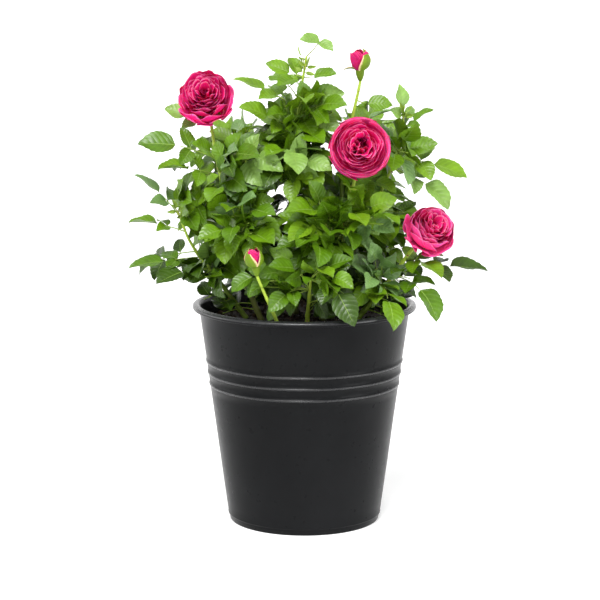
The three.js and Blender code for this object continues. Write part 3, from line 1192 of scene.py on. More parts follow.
@dataclass
class Canes:
    """The canes with their bark: swollen nodes, low ridges and hooked prickles."""

    canes: Sequence[Cane]
    sides: int = 12
    step: float = 1.6 * MM
    node_gap: float = 24 * MM
    slimming: float = 0.28
    prickle_density: float = 2200.0

    def prickle(self) -> bpy.types.Object:
        """Makes one hooked prickle about a metre tall, to be set on small."""
        line = np.array([(0, 0, -0.1), (0.02, 0, 0.35), (-0.06, 0, 0.7), (-0.22, 0, 1.0)],
                        dtype=float)
        points, faces, places = tube(line, np.array([0.34, 0.2, 0.1, 0.02]), 6)
        hook = Patchwork("prickle", [])
        hook.add(points, faces, places)
        return hook.build()

    def limb(self, cane: Cane) -> tuple[np.ndarray, np.ndarray]:
        """Works out one cane's line and its radius along it, with a swelling at each node.

        Args:
            cane: The cane of the frame.

        Returns:
            The line and the radii.
        """
        length = line_length(cane.line)
        count = int(length / self.step)
        line = spaced(cane.line, count)
        share = np.linspace(0.0, 1.0, count)
        radii = np.interp(share, np.linspace(0, 1, len(cane.radii)), cane.radii)
        along = share * length / self.node_gap
        swelling = 1 + 0.16 * np.exp(-((along % 1.0) - 0.5) ** 2 / 0.006)
        slimmer = 1 - (0.4 if cane.flowering else 1.0) * self.slimming * share
        return line, radii * swelling * slimmer

    def build(self) -> None:
        """Builds each cane with its prickles and hands them over."""
        bark = CaneFinish().make()
        thorn = StemFinish("prickle_red", (0.27, 0.13, 0.05), (0.38, 0.2, 0.09)).make()
        hook = self.prickle()
        tree = ScatterTree("scatter_prickles", upright=True)
        for number, cane in enumerate(self.canes):
            line, radii = self.limb(cane)
            limb = Patchwork("cane_bark_" + cane.name, [bark])
            points, faces, places = tube(line, radii, self.sides)
            centres = np.repeat(line, self.sides, axis=0)
            turn, along = 2 * math.pi * places[:, 0], places[:, 1]
            relief = (1 + 0.05 * np.sin(3 * turn + 55 * along + number)
                      + 0.035 * np.sin(5 * turn - 90 * along) + 0.02 * np.sin(700 * along))
            places[:, 1] = along.max() - along
            limb.add(centres + (points - centres) * relief[:, None], faces, places)
            piece = limb.build()
            thorns = tree.scatter("prickles_" + cane.name, piece, Solid=hook,
                                  Density=self.prickle_density, Smallest=1.6 * MM,
                                  Largest=3.2 * MM, Seed=40 + number, Finish=thorn)
            hand_over(piece, "cane", "cane_" + cane.name)
            if thorns.data.polygons:
                hand_over(thorns, "cane")
            else:
                bpy.data.objects.remove(thorns)
        bpy.data.objects.remove(hook)


# ----- Leaves -----


@dataclass
class LeafletMould:
    """Casts leaflets: pointed oval blades with toothed edges, folded along the midrib.

    Attributes:
        teeth: Teeth on each side.
        kinds: How many differing blades are cast.
        width: A blade's width as a part of its length.
    """

    teeth: int = 7
    kinds: int = 9
    width: float = 0.70

    SHOULDER = 0.52

    def __post_init__(self) -> None:
        """Casts the blades."""
        rows = 2 * self.teeth + 1
        self.share = np.linspace(0.0, 1.0, rows)
        self.across = np.array([-1.0, -self.SHOULDER, 0.0, self.SHOULDER, 1.0])
        self.faces = grid_faces(rows, 5)
        u, v = np.meshgrid(self.across / 2 + 0.5, self.share)
        self.uv = np.column_stack([u.ravel(), v.ravel()])
        rng = np.random.default_rng(7)
        self.blades = [self.cast(rng) for _ in range(self.kinds)]

    def half_width(self, share: np.ndarray) -> np.ndarray:
        """Returns half of a blade's width along it, in parts of its length."""
        outline = share ** 0.56 * (1 - share) ** 0.88
        return self.width / 2 * outline / outline.max()

    def cast(self, rng: np.random.Generator) -> np.ndarray:
        """Casts one blade of length one that lies along Y with its face to Z.

        Args:
            rng: What its fold, arch and waves are drawn from.

        Returns:
            Its points, row by row.
        """
        half = self.half_width(self.share)
        tooth = np.where(np.arange(len(self.share)) % 2 == 1, 1.0, -1.0)
        tooth[[0, -1]] = 0.0
        fold = rng.uniform(0.45, 0.9)
        arch = rng.uniform(0.08, 0.36)
        wave = rng.uniform(0.015, 0.04)
        phase = rng.uniform(0, 2 * math.pi)
        lean = rng.uniform(-0.05, 0.05)
        rows = []
        for share, width, bite in zip(self.share, half, tooth):
            edge = np.abs(self.across) == 1
            x = self.across * width * np.where(edge, 1 + 0.03 * bite, 1.0)
            y = share + np.where(edge, 0.010 * bite, 0.0) + lean * share * self.across * 0.2
            z = (fold * np.abs(x) + arch * share * (1 - share) - 0.95 * x ** 2
                 + wave * np.sin(9 * share + phase) * self.across)
            z = z + 0.009 * bite * (np.abs(self.across) == self.SHOULDER)
            rows.append(np.column_stack([x + lean * share ** 2, y, z]))
        return np.concatenate(rows)

    def rib(self, blade: np.ndarray) -> np.ndarray:
        """Returns the line of a blade's midrib, just proud of its face, short of its tip."""
        return blade.reshape(len(self.share), 5, 3)[:-1:2, 2] + np.array([0.0, 0.0, 0.006])


@dataclass
class Clearing:
    """A space that leaves keep out of, so that a flower shows."""

    centre: np.ndarray
    way: np.ndarray
    radius: float
    before: float

    def holds(self, points: np.ndarray) -> bool:
        """Says whether any of some points lies in the space."""
        from_centre = points - self.centre
        along = from_centre @ self.way
        across = np.linalg.norm(from_centre - along[:, None] * self.way, axis=1)
        return bool(((across < self.radius) & (along > -self.radius * 0.3)
                     & (along < self.before)).any())


class StalkKind(IntEnum):
    """The finishes of what carries the leaves, by their number."""

    STALK = 0
    TWIG = 1
    YOUNG = 2
    RIB = 3


@dataclass
class Foliage:
    """Grows compound leaves into pieces of blades and pieces of stalks.

    Attributes:
        mould: What casts the leaflets.
        clearings: The spaces that leaves keep out of.
        pot_rim: The radius of the pot's rim.
        pot_top: The height of the pot's rim.
        low: The lowest corner of the space that leaves may fill.
        high: Its highest corner.
        blade_finishes: A material for each tone.
        stalk_finishes: A material for each kind of stalk.
        over_rim: Whether the next leaves may hang down outside the pot.
        middles: Where the leaflets stand.
        pieces: The blades and the stalks of each cane.
    """

    mould: LeafletMould
    clearings: Sequence[Clearing]
    pot_rim: float
    pot_top: float
    low: np.ndarray
    high: np.ndarray
    blade_finishes: dict[LeafTone, bpy.types.Material]
    stalk_finishes: Sequence[bpy.types.Material]
    over_rim: bool = False
    middles: list[np.ndarray] = field(default_factory=list)
    pieces: dict[str, tuple[Patchwork, Patchwork]] = field(default_factory=dict)

    def open_pieces(self, name: str) -> None:
        """Starts the pieces that the next leaves go into, or goes on with them."""
        if name not in self.pieces:
            self.pieces[name] = (
                Patchwork("leaf_blades_" + name, list(self.blade_finishes.values())),
                Patchwork("leaf_stalks_" + name, self.stalk_finishes))
        self.blades, self.stalks = self.pieces[name]

    def fits(self, points: np.ndarray) -> bool:
        """Says whether a leaflet keeps clear of the flowers, the compost and the pot."""
        if (points < self.low).any() or (points > self.high).any():
            return False
        if any(clearing.holds(points) for clearing in self.clearings):
            return False
        out = np.linalg.norm(points[:, :2], axis=1)
        low = points[:, 2] < self.pot_top + 1.5 * MM
        near_wall = low & (out > self.pot_rim - 12 * MM) & (out < self.pot_rim + 1 * MM)
        buried = (points[:, 2] < self.pot_top - 13 * MM) & (out < self.pot_rim)
        hanging = (points[:, 2] < self.pot_top + 22 * MM) & (out > self.pot_rim)
        return not (near_wall.any() or buried.any() or (hanging.any() and not self.over_rim))

    def leaflet(self, foot: np.ndarray, way: np.ndarray, face: np.ndarray, length: float,
                tone: LeafTone, rng: np.random.Generator) -> bool:
        """Sets one leaflet with its midrib. A young one is narrow, not yet open.

        Args:
            foot: Where its blade starts.
            way: Where its tip points.
            face: What its upper side looks towards.
            length: Its length.
            tone: Its green.
            rng: What its choice of blade is drawn from.

        Returns:
            Whether there was room for it.
        """
        way = unit(way)
        face = square_to(way, face)
        side = np.cross(way, face)
        kind = int(rng.integers(self.mould.kinds))
        broad = rng.uniform(0.92, 1.1) * (0.6 if tone is LeafTone.YOUNG else 1.0)
        axes = np.stack([side * broad, way, face]) * length
        blade = self.mould.blades[kind]
        points = foot + blade @ axes
        if not self.fits(points):
            return False
        tones = list(self.blade_finishes)
        self.blades.add(points, [self.mould.faces], self.mould.uv, tones.index(tone))
        rib = foot + self.mould.rib(blade) @ axes
        half = np.linspace(0.36, 0.08, len(rib))[:, None] * MM * (length / (26 * MM))
        ridge = rib + face * 0.14 * MM
        strip = np.stack([rib - side * half, ridge, rib + side * half], axis=1).reshape(-1, 3)
        places = np.column_stack([np.tile([0.0, 0.5, 1.0], len(rib)),
                                  np.repeat(np.linspace(0.0, 0.9, len(rib)), 3) * length])
        finish = StalkKind.YOUNG if tone is LeafTone.YOUNG else StalkKind.RIB
        self.stalks.add(strip, [grid_faces(len(rib), 3)], places, finish)
        self.middles.append(foot + 0.5 * length * way)
        return True

    def openness(self, place: np.ndarray) -> float:
        """Returns how far the leaflets round a place stand from it."""
        away = np.linalg.norm(np.array(self.middles) - place, axis=1)
        return float(np.partition(away, 4)[:4].mean())

    def stalk(self, line: np.ndarray, thick: float, thin: float, finish: StalkKind,
              sides: int = 5) -> None:
        """Lays a tapering stalk or twig along a line."""
        radii = np.linspace(thick, thin, len(line))
        points, faces, places = tube(line, radii, sides)
        self.stalks.add(points, faces, places, finish)

    def compound_leaf(self, line: np.ndarray, face: np.ndarray, pairs: int, size: float,
                      tone: LeafTone, rng: np.random.Generator, droop: float = 0.3,
                      hang: float = 0.0, mass: Mass | None = None) -> None:
        """Grows a compound leaf along a line.

        Args:
            line: Points from the leaf's foot to the tip of its last leaflet.
            face: What its upper side looks towards.
            pairs: How many pairs of leaflets it has beside the last one.
            size: The length of its last leaflet.
            tone: Its green.
            rng: What its small chances are drawn from.
            droop: How far its leaflets hang, at the most.
            hang: How far its last leaflet turns down besides.
            mass: The mass that its side leaflets keep to, if there is one.
        """
        length = line_length(line)
        steps = 40
        fine = spaced(line, steps + 1)
        ways = np.gradient(fine, axis=0)
        end = max(0.34, 1 - size / length)
        last = int(round(end * steps))
        grown = 0
        for pair in range(pairs):
            share = end - (0.40 + 0.74 * pair) * size / length
            if share < 0.1:
                break
            place = int(round(share * steps))
            way = unit(ways[place])
            up = square_to(way, face)
            side = np.cross(way, up)
            shrink = 0.9 - 0.1 * pair
            for hand in (-1.0, 1.0):
                spread = math.radians(rng.uniform(52, 70))
                out = math.cos(spread) * way + hand * math.sin(spread) * side
                out = unit(out - UP * rng.uniform(0.0, droop) + rng.normal(0, 0.07, 3))
                look = up + hand * side * rng.uniform(-0.1, 0.35) + rng.normal(0, 0.12, 3)
                foot = fine[place] + out * 1.8 * MM
                blade = size * shrink * rng.uniform(0.88, 1.08)
                if mass is not None:
                    room = 1.35 * mass.reach(fine[place], out)
                    blade = float(np.clip(room, 0.78 * blade, 1.1 * blade))
                if self.leaflet(foot, out, look, blade, tone, rng):
                    grown += 1
                    joint = np.stack([fine[place], foot + out * 0.8 * MM])
                    self.stalk(joint, 0.42 * MM, 0.34 * MM, StalkKind.STALK, 4)
        way = unit(unit(ways[last]) - UP * (hang + rng.uniform(0.0, droop))
                   + rng.normal(0, 0.06, 3))
        up = square_to(way, face + rng.normal(0, 0.16, 3))
        if self.leaflet(fine[last], way, up, size * rng.uniform(0.96, 1.08), tone, rng):
            grown += 1
        if grown:
            finish = StalkKind.YOUNG if tone is LeafTone.YOUNG else StalkKind.STALK
            self.stalk(fine[:last + 1:4] if last > 8 else fine[:last + 1],
                       0.72 * MM, 0.4 * MM, finish)

    def close_pieces(self, *nodes: str) -> None:
        """Finishes the open pieces and hands them over.

        Args:
            *nodes: The masses of the frame that they stand for.
        """
        if self.blades.size:
            hand_over(self.blades.build(), "leaf", *nodes)
            hand_over(self.stalks.build(), "cane")


@dataclass
class Crown:
    """The whole crown: what each mass of the frame holds, and the leaves along the canes.

    Attributes:
        canes: The plant's canes.
        foliage: What grows the leaves.
        bare: How long the flowering canes stay bare below their flowers, by name.
        slim: The girth below which a mass is one compound leaf.
        short: The length below which a mass is a pair of young leaflets.
        level: The girth below which that leaf lies more and more level.
        longest: The length of the longest leaf; a side twig carries one that stands farther off.
        heart: The middle of the crown.
        girth: The crown's half sizes.
        airy: The height above which masses carry fewer, larger leaves.
        crowded: The part of a cane above which its leaves stand close.
        skirt: The length of cane above the compost whose leaves take the near-black painted-shade
            green and stand close.
        up_turn: How far leaves turn their faces up.
        out_turn: How far they turn them outward.
        front_turn: How far the leaves in front turn theirs to the light.
    """

    canes: Sequence[Cane]
    foliage: Foliage
    bare: dict[str, float]
    slim: float = 21 * MM
    short: float = 30 * MM
    level: float = 13.6 * MM
    longest: float = 74 * MM
    heart: tuple[float, float, float] = (-0.02, 0.0, 0.27)
    girth: tuple[float, float, float] = (0.12, 0.4, 0.13)
    airy: float = 0.355
    crowded: float = 0.72
    skirt: float = 60 * MM
    up_turn: float = 0.85
    out_turn: float = 0.65
    front_turn: float = 0.75

    def out(self, place: np.ndarray) -> float:
        """Returns how far out a place lies, from the crown's heart, 0, to its edge, 1."""
        return float(np.linalg.norm((place - np.array(self.heart)) / np.array(self.girth)))

    def sky(self, place: np.ndarray) -> np.ndarray:
        """Returns the way that leaves at a place turn their faces: up, out and to the light."""
        out = unit(np.array([place[0], place[1], 0.0]))
        forward = np.array([0.0, -1.0, 0.0]) * float(np.clip((0.10 - place[1]) / 0.06, 0, 1))
        return unit(self.up_turn * UP + self.out_turn * out + self.front_turn * forward)

    def tone(self, rng: np.random.Generator, tip: np.ndarray) -> LeafTone:
        """Deals out a green to a spray: deep low and inside as painted shade, fresher at the sides
        and above, partly young growth and partly painted light.

        Args:
            rng: What the choice is drawn from.
            tip: Where the spray ends.

        Returns:
            The green.
        """
        # Deep and near-black greens go low and inside as painted shade; fresher greens go outside,
        # above and to the right, partly young growth and partly painted light.
        low = float(np.clip((0.285 - tip[2]) / 0.05, 0.0, 1.0))
        outside = 1.5 * self.out(tip) - 0.62 + 0.3 * float(tip[0] > 0.02)
        fresh_and_lit = float(np.clip(outside, 0.0, 1.0)) * (1 - 0.7 * low)
        weights = np.array([0.42 - 0.38 * fresh_and_lit + 0.5 * low, 0.34 - 0.06 * fresh_and_lit,
                            0.14 + 0.22 * fresh_and_lit, 0.02 + 0.12 * fresh_and_lit, 0.08 + 0.10 * fresh_and_lit,
                            0.0, 0.2 * (1 - fresh_and_lit) + 0.4 * low ** 2])
        return list(LeafTone)[int(rng.choice(len(weights), p=weights / weights.sum()))]

    def sprout(self, foot: np.ndarray, way: np.ndarray, rng: np.random.Generator,
               size: float) -> None:
        """Grows a tuft of young, half-open leaves at the end of a shoot.

        Args:
            foot: Where the shoot ends.
            way: The shoot's way.
            rng: What its lengths are drawn from.
            size: The mean length of its leaflets.
        """
        for number in range(4):
            side = turned(square_to(way, UP), way, number * GOLDEN_ANGLE)
            out = unit(way + 0.45 * side)
            reach = rng.uniform(1.4, 2.4) * size
            leaf = bezier(foot, foot + way * reach * 0.5, foot + out * reach, 9)
            self.foliage.compound_leaf(leaf, unit(UP + side), 1, rng.uniform(0.8, 1.2) * size,
                                       LeafTone.YOUNG, rng)

    def crest(self, mass: Mass, rng: np.random.Generator) -> None:
        """Fills a very short mass with two young leaflets, side by side on a bare shoot."""
        top = mass.foot + 0.74 * (mass.tip - mass.foot)
        self.foliage.stalk(bezier(mass.foot, mass.bend, top, 5), 0.6 * MM, 0.4 * MM,
                           StalkKind.YOUNG)
        for way, length in (((-0.95, -0.3, 0.12), 21 * MM), ((0.6, -0.45, -0.4), 18 * MM)):
            self.foliage.leaflet(top, np.array(way), np.array([0.1, -0.7, 0.8]), length,
                                 LeafTone.FRESH, rng)

    def single(self, mass: Mass, rng: np.random.Generator) -> None:
        """Fills a slim mass with one compound leaf that runs from its cane to its tip."""
        line = mass.line(25)
        length = line_length(line)
        pairs = 1 if length < 46 * MM else 2 if length < 80 * MM else 3
        size = float(np.clip(0.48 * length, 23 * MM, 36 * MM))
        level = float(np.clip((self.level - mass.girth) / (1.5 * MM), 0, 1))
        fall = float(mass.foot[2] - mass.tip[2]) / length
        self.foliage.over_rim = True
        self.foliage.compound_leaf(line, self.sky(mass.middle) + 2.4 * level * UP, pairs, size,
                                   self.tone(rng, mass.tip), rng, 0.1 + 0.12 * level,
                                   hang=float(np.clip(1.4 * fall - 0.3, 0.0, 0.7)), mass=mass)
        self.foliage.over_rim = False

    def bushy(self, mass: Mass, rng: np.random.Generator) -> None:
        """Fills a broad mass with a twig and compound leaves that reach to its skin."""
        twig = mass.line(25)[:20]
        self.foliage.stalk(twig[::3], 1.15 * MM, 0.6 * MM, StalkKind.TWIG, 6)
        high = mass.middle[2] > self.airy
        for end in mass.ends((11 if high else 14) if mass.girth < 30 * MM else 26):
            away = np.linalg.norm(twig - end, axis=1)
            nearest = int(np.argmin(away)) + 1
            place = int(np.argmin(np.abs(away[:nearest] - rng.uniform(44, 70) * MM)))
            start, far = twig[place], away[place]
            if far < 32 * MM:
                continue
            if far > self.longest:
                fork = end + (start - end) * self.longest / far
                middle = (start + fork) / 2 + UP * 0.12 * (far - self.longest)
                self.foliage.stalk(bezier(start, middle, fork, 7), 0.85 * MM, 0.6 * MM,
                                   StalkKind.TWIG)
                start, far = fork, self.longest
            rise = 0.5 * max(float(end[2] - start[2]), 0.0) + rng.uniform(0.12, 0.34) * far
            leaf = bezier(start, start + 0.5 * (end - start) + rise * UP, end, 15)
            size = float(np.clip(0.5 * far, 26 * MM, 36 * MM)) * rng.uniform(0.85, 1.12)
            size *= 1.15 if high else 1.0
            self.foliage.compound_leaf(leaf, self.sky(end) + rng.normal(0, 0.2, 3),
                                       1 if far < 48 * MM else 2, size, self.tone(rng, end),
                                       rng, hang=rng.uniform(0.0, 0.5))

    def along_cane(self, cane: Cane, rng: np.random.Generator) -> None:
        """Grows the leaves that stand on the cane itself, one to each bud."""
        length = line_length(cane.line)
        line = spaced(cane.line, 60)
        last = len(line) - 1
        turn = 0.0
        along = 14 * MM
        bare = self.bare.get(cane.name, 22 * MM)
        while along < length - bare:
            place = int(along / length * last)
            high = place > self.crowded * last
            low = along < self.skirt
            way = unit(line[min(place + 1, last)] - line[place - 1])
            start = line[place]
            reach = rng.uniform(36, 56) * MM if low else rng.uniform(48, 68) * MM
            fall = reach * rng.uniform(0.2, 0.5)
            best = -1.0
            for _ in range(8):
                turn += GOLDEN_ANGLE
                side = turned(square_to(way, np.array([1.0, 0.0, 0.0])), way, turn)
                out = unit((0.65 if high else 0.5) * way + side)
                end = start + out * reach - UP * fall
                space = self.foliage.openness(start + out * reach * 0.7)
                margin = (50 if self.out(end) < 0.5 else 22) * MM
                if not low and not any(mass.nears(end, margin) for mass in self.masses):
                    space = 0.0
                if space > best:
                    best, leaf = space, bezier(start, start + out * reach * 0.55, end, 15)
            # The low leaves take the near-black green, painted shade.
            tone = LeafTone.DARK if low else self.tone(rng, leaf[-1])
            self.foliage.compound_leaf(leaf, self.sky(leaf[-1]), 2 if reach > 50 * MM else 1,
                                       rng.uniform(22, 31) * MM, tone, rng,
                                       hang=rng.uniform(0.0, 0.4))
            along += (rng.uniform(5, 8) if low else rng.uniform(9, 13) if high
                      else rng.uniform(12, 18)) * MM
        if not cane.flowering and line[-1, 2] > 0.29:
            place = -1 if cane.name != "top" else -int(26 * MM / length * last)
            self.sprout(line[place], unit(line[place] - line[place - 3]), rng,
                        9 * MM if place == -1 else 11 * MM)

    def build(self) -> None:
        """Grows the crown, cane by cane, and hands its pieces over."""
        carried = {}
        for cane in self.canes:
            nodes = nodes_starting(f"leaves_{cane.name}_")
            carried[cane.name] = [Mass.read(node, cane) for node in nodes
                                  if node.removeprefix(f"leaves_{cane.name}_").isdigit()]
        self.masses = [mass for masses in carried.values() for mass in masses]
        rngs = [np.random.default_rng(1000 + 17 * number) for number in range(len(self.canes))]
        for cane, rng in zip(self.canes, rngs):
            self.foliage.open_pieces(cane.name)
            for mass in carried[cane.name]:
                short = np.linalg.norm(mass.tip - mass.foot) < self.short
                fill = self.crest if short else self.single
                if mass.girth > self.slim:
                    fill = self.bushy
                fill(mass, rng)
        for cane, rng in zip(self.canes, rngs):
            self.foliage.open_pieces(cane.name)
            self.along_cane(cane, rng)
            self.foliage.close_pieces(*[mass.name for mass in carried[cane.name]])
        LOG.info("%d leaflets", len(self.foliage.middles))


# ----- Flowers -----


@dataclass
class Petal:
    """One petal, a curved sheet about its flower's axis, in parts of the flower's radius.

    Attributes:
        turn: Where it stands round the axis.
        foot: Radius and height of its foot.
        belly: Radius and height that its curve is drawn towards.
        rim: Radius and height of the middle of its rim.
        spread: Half of the angle that it spans at its rim.
        flat: How far it is from wrapped round the axis, 0, to flat, 1.
        roll: How far its rim curls out.
        ruffle: How deep its rim waves.
        point: How far its rim is from round, 0, to pointed, 1.
        fall: How far its rim falls away at both sides.
        phase: Where its waves start.
        centre: What it curves round, off its flower's axis.
    """

    turn: float
    foot: tuple[float, float]
    belly: tuple[float, float]
    rim: tuple[float, float]
    spread: float
    flat: float = 0.0
    roll: float = 0.0
    ruffle: float = 0.02
    point: float = 0.0
    fall: float = 0.22
    phase: float = 0.0
    centre: tuple[float, float] = (0.0, 0.0)

    ROWS = 10
    COLUMNS = 11

    def surface(self) -> tuple[np.ndarray, np.ndarray]:
        """Works out the petal's points and pattern places."""
        across, along = np.meshgrid(np.linspace(-1, 1, self.COLUMNS),
                                    np.linspace(0.0, 1.0, self.ROWS))
        u, v = across.ravel(), along.ravel()
        shoulder = 2.8 - 1.6 * self.point
        reach = v * (1 - (self.fall + 0.14 * self.point) * np.abs(u) ** shoulder)
        line = [(1 - reach) ** 2 * start + 2 * reach * (1 - reach) * middle + reach ** 2 * end
                for start, middle, end in zip(self.foot, self.belly, self.rim)]
        radius, height = line
        curl = np.clip((v - 0.7) / 0.3, 0, 1) ** 2
        radius = radius + self.roll * curl
        height = height - 0.7 * abs(self.roll) * curl
        wave = np.sin(3.4 * u + self.phase) + 0.45 * np.sin(8.1 * u + 2.3 * self.phase)
        radius = radius + self.ruffle * v ** 4 * wave
        height = height + 0.7 * self.ruffle * v ** 4 * np.cos(5.2 * u + self.phase)
        angle = u * self.spread * (0.5 + 0.5 * v ** 0.6)
        x = radius * np.cos(angle) * (1 - self.flat) + radius * self.flat
        y = radius * np.sin(angle) * (1 - self.flat) + radius * angle * self.flat
        cosine, sine = math.cos(self.turn), math.sin(self.turn)
        points = np.column_stack([self.centre[0] + x * cosine - y * sine,
                                  self.centre[1] + x * sine + y * cosine, height])
        return points, np.column_stack([u / 2 + 0.5, v])


@dataclass(frozen=True)
class Habit:
    """How one bloom is built.

    Attributes:
        petals: How many petals its rosette has.
        rosette: The rosette's radius, as a part of the bloom's.
        outer_rim: Height of the outermost rims, as a part of the petals' height.
        ruffle: How deep the rims wave.
        bulge: How far the outer petals belly out beyond their rims.
        eye: Where the eye lies off the axis, over it and to its left; the petals round it sink and
            are painted near-black as shade.
        guards: Places of the guard petals round the axis, in degrees.
        guard_spread: Half of the angle that a guard petal spans.
        point: How pointed the outer petals are.
        roll: How far the outer rims curl out.
        spread: Half of the angle that a petal spans.
        shift: Where the rosette's middle lies off the axis, over it and to its left.
        flat: How flat the guard petals are.
        light: Where round the axis the petals take the lighter guard finish as painted light, in
            degrees, if anywhere.
        heart: How far the heart's middles stand from its own, in parts of the rosette.
        quarters: How many of them there are.
        even: How even the outer petals' rims are, from as wavy as the inner ones, 0, to 1.
        fullness: The bloom's radius, as a part of the frame's.
        pale: Whether its petals are the lighter pink of a bloom that has been open for days.
    """

    petals: int
    rosette: float
    outer_rim: float
    ruffle: float
    bulge: float
    eye: tuple[float, float]
    guards: tuple[float, ...]
    guard_spread: float
    point: float = 0.0
    roll: float = 0.05
    spread: float = 0.65
    shift: tuple[float, float] = (0.0, 0.0)
    flat: float = 0.04
    light: float | None = None
    heart: float = 0.19
    quarters: int = 5
    even: float = 0.0
    fullness: float = 1.0
    pale: bool = False


HABITS = {
    "bloom_left": Habit(petals=50, rosette=0.88, outer_rim=0.62, ruffle=0.032, point=0.6,
                        bulge=0.34, spread=0.58, eye=(0.12, 0.02), heart=0.15, quarters=4,
                        shift=(0.11, 0.02), guards=tuple(range(0, 360, 30)),
                        guard_spread=0.34, light=215.0),
    "bloom_centre": Habit(petals=60, rosette=0.95, outer_rim=0.50, ruffle=0.034, bulge=0.28,
                          spread=0.62, eye=(0.07, -0.08), heart=0.21, quarters=6, even=1.0,
                          fullness=0.95, guards=tuple(range(0, 360, 24)), guard_spread=0.5,
                          flat=0.0),
    "bloom_right": Habit(petals=42, rosette=0.8, outer_rim=0.72, ruffle=0.028, point=0.15,
                         bulge=0.3, eye=(0.16, -0.18), shift=(0.1, -0.12), pale=True,
                         guards=(50, 82, 114, 146, 178, 210, 242), guard_spread=0.46,
                         flat=0.25, light=120.0),
}


class PetalKind(IntEnum):
    """The finishes that the petals of one bloom have, by their number."""

    OUTER = 0
    BODY = 1
    HEART = 2
    # The guard petals' finish, which also paints light on the lit side of a bloom.
    LIGHT = 3
    # Near-black petals that paint shade in the sunken eye.
    PIT = 4


@dataclass
class Rose:
    """An open bloom of many petals on its hip, with sepals behind."""

    flower: Flower
    habit: Habit
    petals: Sequence[bpy.types.Material]
    sepal: bpy.types.Material
    seed: int

    def rosette(self, rng: np.random.Generator) -> list[tuple[int, Petal]]:
        """Works out the petals of the rosette, each with the number of its finish."""
        habit = self.habit
        rows = []
        for number in range(habit.petals):
            inner = (number + 0.5) / habit.petals
            core = 1.26 * habit.heart
            radius = habit.rosette * (core + (1 - core) * (1 - inner) ** 0.72)
            rise = min(1.0, 1.5 * (1 - radius / habit.rosette))
            crest = habit.outer_rim + (1 - habit.outer_rim) * math.sin(rise * math.pi / 2)
            turn = number * GOLDEN_ANGLE + rng.uniform(-0.35, 0.35)
            level = crest + rng.normal(0, 0.04)
            outer = (1 - inner) ** 2.2
            even = 1 - habit.even * (1 - inner) ** 2
            reach = radius * (1 + rng.uniform(-0.1, 0.04) * even)
            finish = (PetalKind.OUTER if inner < 0.3 else PetalKind.BODY if inner < 0.72
                      else PetalKind.HEART)
            # Petals on the lit side take the lighter guard finish: painted light.
            if (habit.light is not None and 0.2 < inner < 0.9
                    and math.cos(turn - math.radians(habit.light)) > 0.72):
                finish = PetalKind.LIGHT
            rows.append((finish, Petal(
                turn=turn, foot=(0.05 + 0.06 * radius, 0.0),
                belly=(reach * (0.9 + (0.3 + habit.bulge) * outer),
                       (0.42 - 0.18 * outer) * level),
                rim=(reach, level),
                spread=habit.spread * rng.uniform(0.85, 1.25) * (1 + 0.3 * inner),
                roll=habit.roll * rng.uniform(0.4, 1.5),
                ruffle=habit.ruffle * rng.uniform(0.6, 1.6) * even,
                point=habit.point * rng.uniform(0.6, 1.1) * (1 if inner < 0.45 else 0.5),
                phase=rng.uniform(0, 2 * math.pi), centre=habit.shift)))
        return rows

    def quarters(self, rng: np.random.Generator) -> list[tuple[int, Petal]]:
        """Works out the crumpled heart, where small petals crowd round several middles."""
        habit = self.habit
        rows = []
        for number in range(habit.quarters + 1):
            angle = 2 * math.pi * number / habit.quarters + rng.uniform(-0.3, 0.3)
            away = habit.heart * habit.rosette if number < habit.quarters else 0.03
            middle = (habit.shift[0] + away * math.cos(angle),
                      habit.shift[1] + away * math.sin(angle))
            near = math.exp(-sum((m - e) ** 2 for m, e in zip(middle, habit.eye)) / 0.025)
            for petal in range(6):
                reach = habit.rosette * rng.uniform(0.05, 0.15)
                # Petals near the eye take the near-black finish, painted shade in the sunken eye.
                rows.append((PetalKind.PIT if near > 0.4 else PetalKind.HEART, Petal(
                    turn=petal * 2.4 + angle, foot=(0.0, 0.1), belly=(reach * 0.4, 0.4),
                    rim=(reach, rng.uniform(0.74, 0.92) - 0.34 * near),
                    spread=rng.uniform(0.8, 1.3), roll=0.03, ruffle=0.03, point=0.4,
                    phase=rng.uniform(0, 2 * math.pi), centre=middle)))
        return rows

    def guards(self, rng: np.random.Generator) -> list[tuple[int, Petal]]:
        """Works out the wide, smooth guard petals that open behind the rosette."""
        rows = []
        for number, turn in enumerate(self.habit.guards):
            inside = number % 2
            rows.append((PetalKind.LIGHT, Petal(
                turn=math.radians(turn), foot=(0.1, 0.0), belly=(0.84, 0.06 + 0.12 * inside),
                rim=(0.97 - 0.04 * inside, 0.5 + 0.1 * inside),
                spread=self.habit.guard_spread, flat=self.habit.flat, roll=0.05,
                ruffle=0.015 * (1 - self.habit.even),
                point=self.habit.point, fall=0.16 + self.habit.flat,
                phase=rng.uniform(0, 2 * math.pi))))
        return rows

    def build(self) -> None:
        """Builds the bloom and hands its pieces over."""
        flower = self.flower
        rng = np.random.default_rng(self.seed)
        hip = 0.22 * flower.depth
        tall = flower.depth - hip
        sheets = [(finish, *petal.surface())
                  for finish, petal in self.guards(rng) + self.rosette(rng) + self.quarters(rng)]
        widest = float(np.percentile(np.concatenate(
            [np.linalg.norm(points[:, :2], axis=1) for _, points, _ in sheets]), 99.0))
        tallest = max(float(points[:, 2].max()) for _, points, _ in sheets)
        bloom = Patchwork("petals_" + flower.name, self.petals)
        faces = [grid_faces(Petal.ROWS, Petal.COLUMNS)]
        for finish, points, places in sheets:
            local = np.column_stack([points[:, :2] * self.habit.fullness * flower.radius / widest,
                                     hip * 0.7 + points[:, 2] * tall / tallest])
            bloom.add(flower.place(local, UP), faces, places, finish)
        hand_over(bloom.build(), "petal", flower.name)
        Calyx(flower, hip, UP, self.sepal, [
            Sepal(turn=72.0 * number + 15, length=0.62 * flower.radius, gape=1.9)
            for number in range(5)]).build()


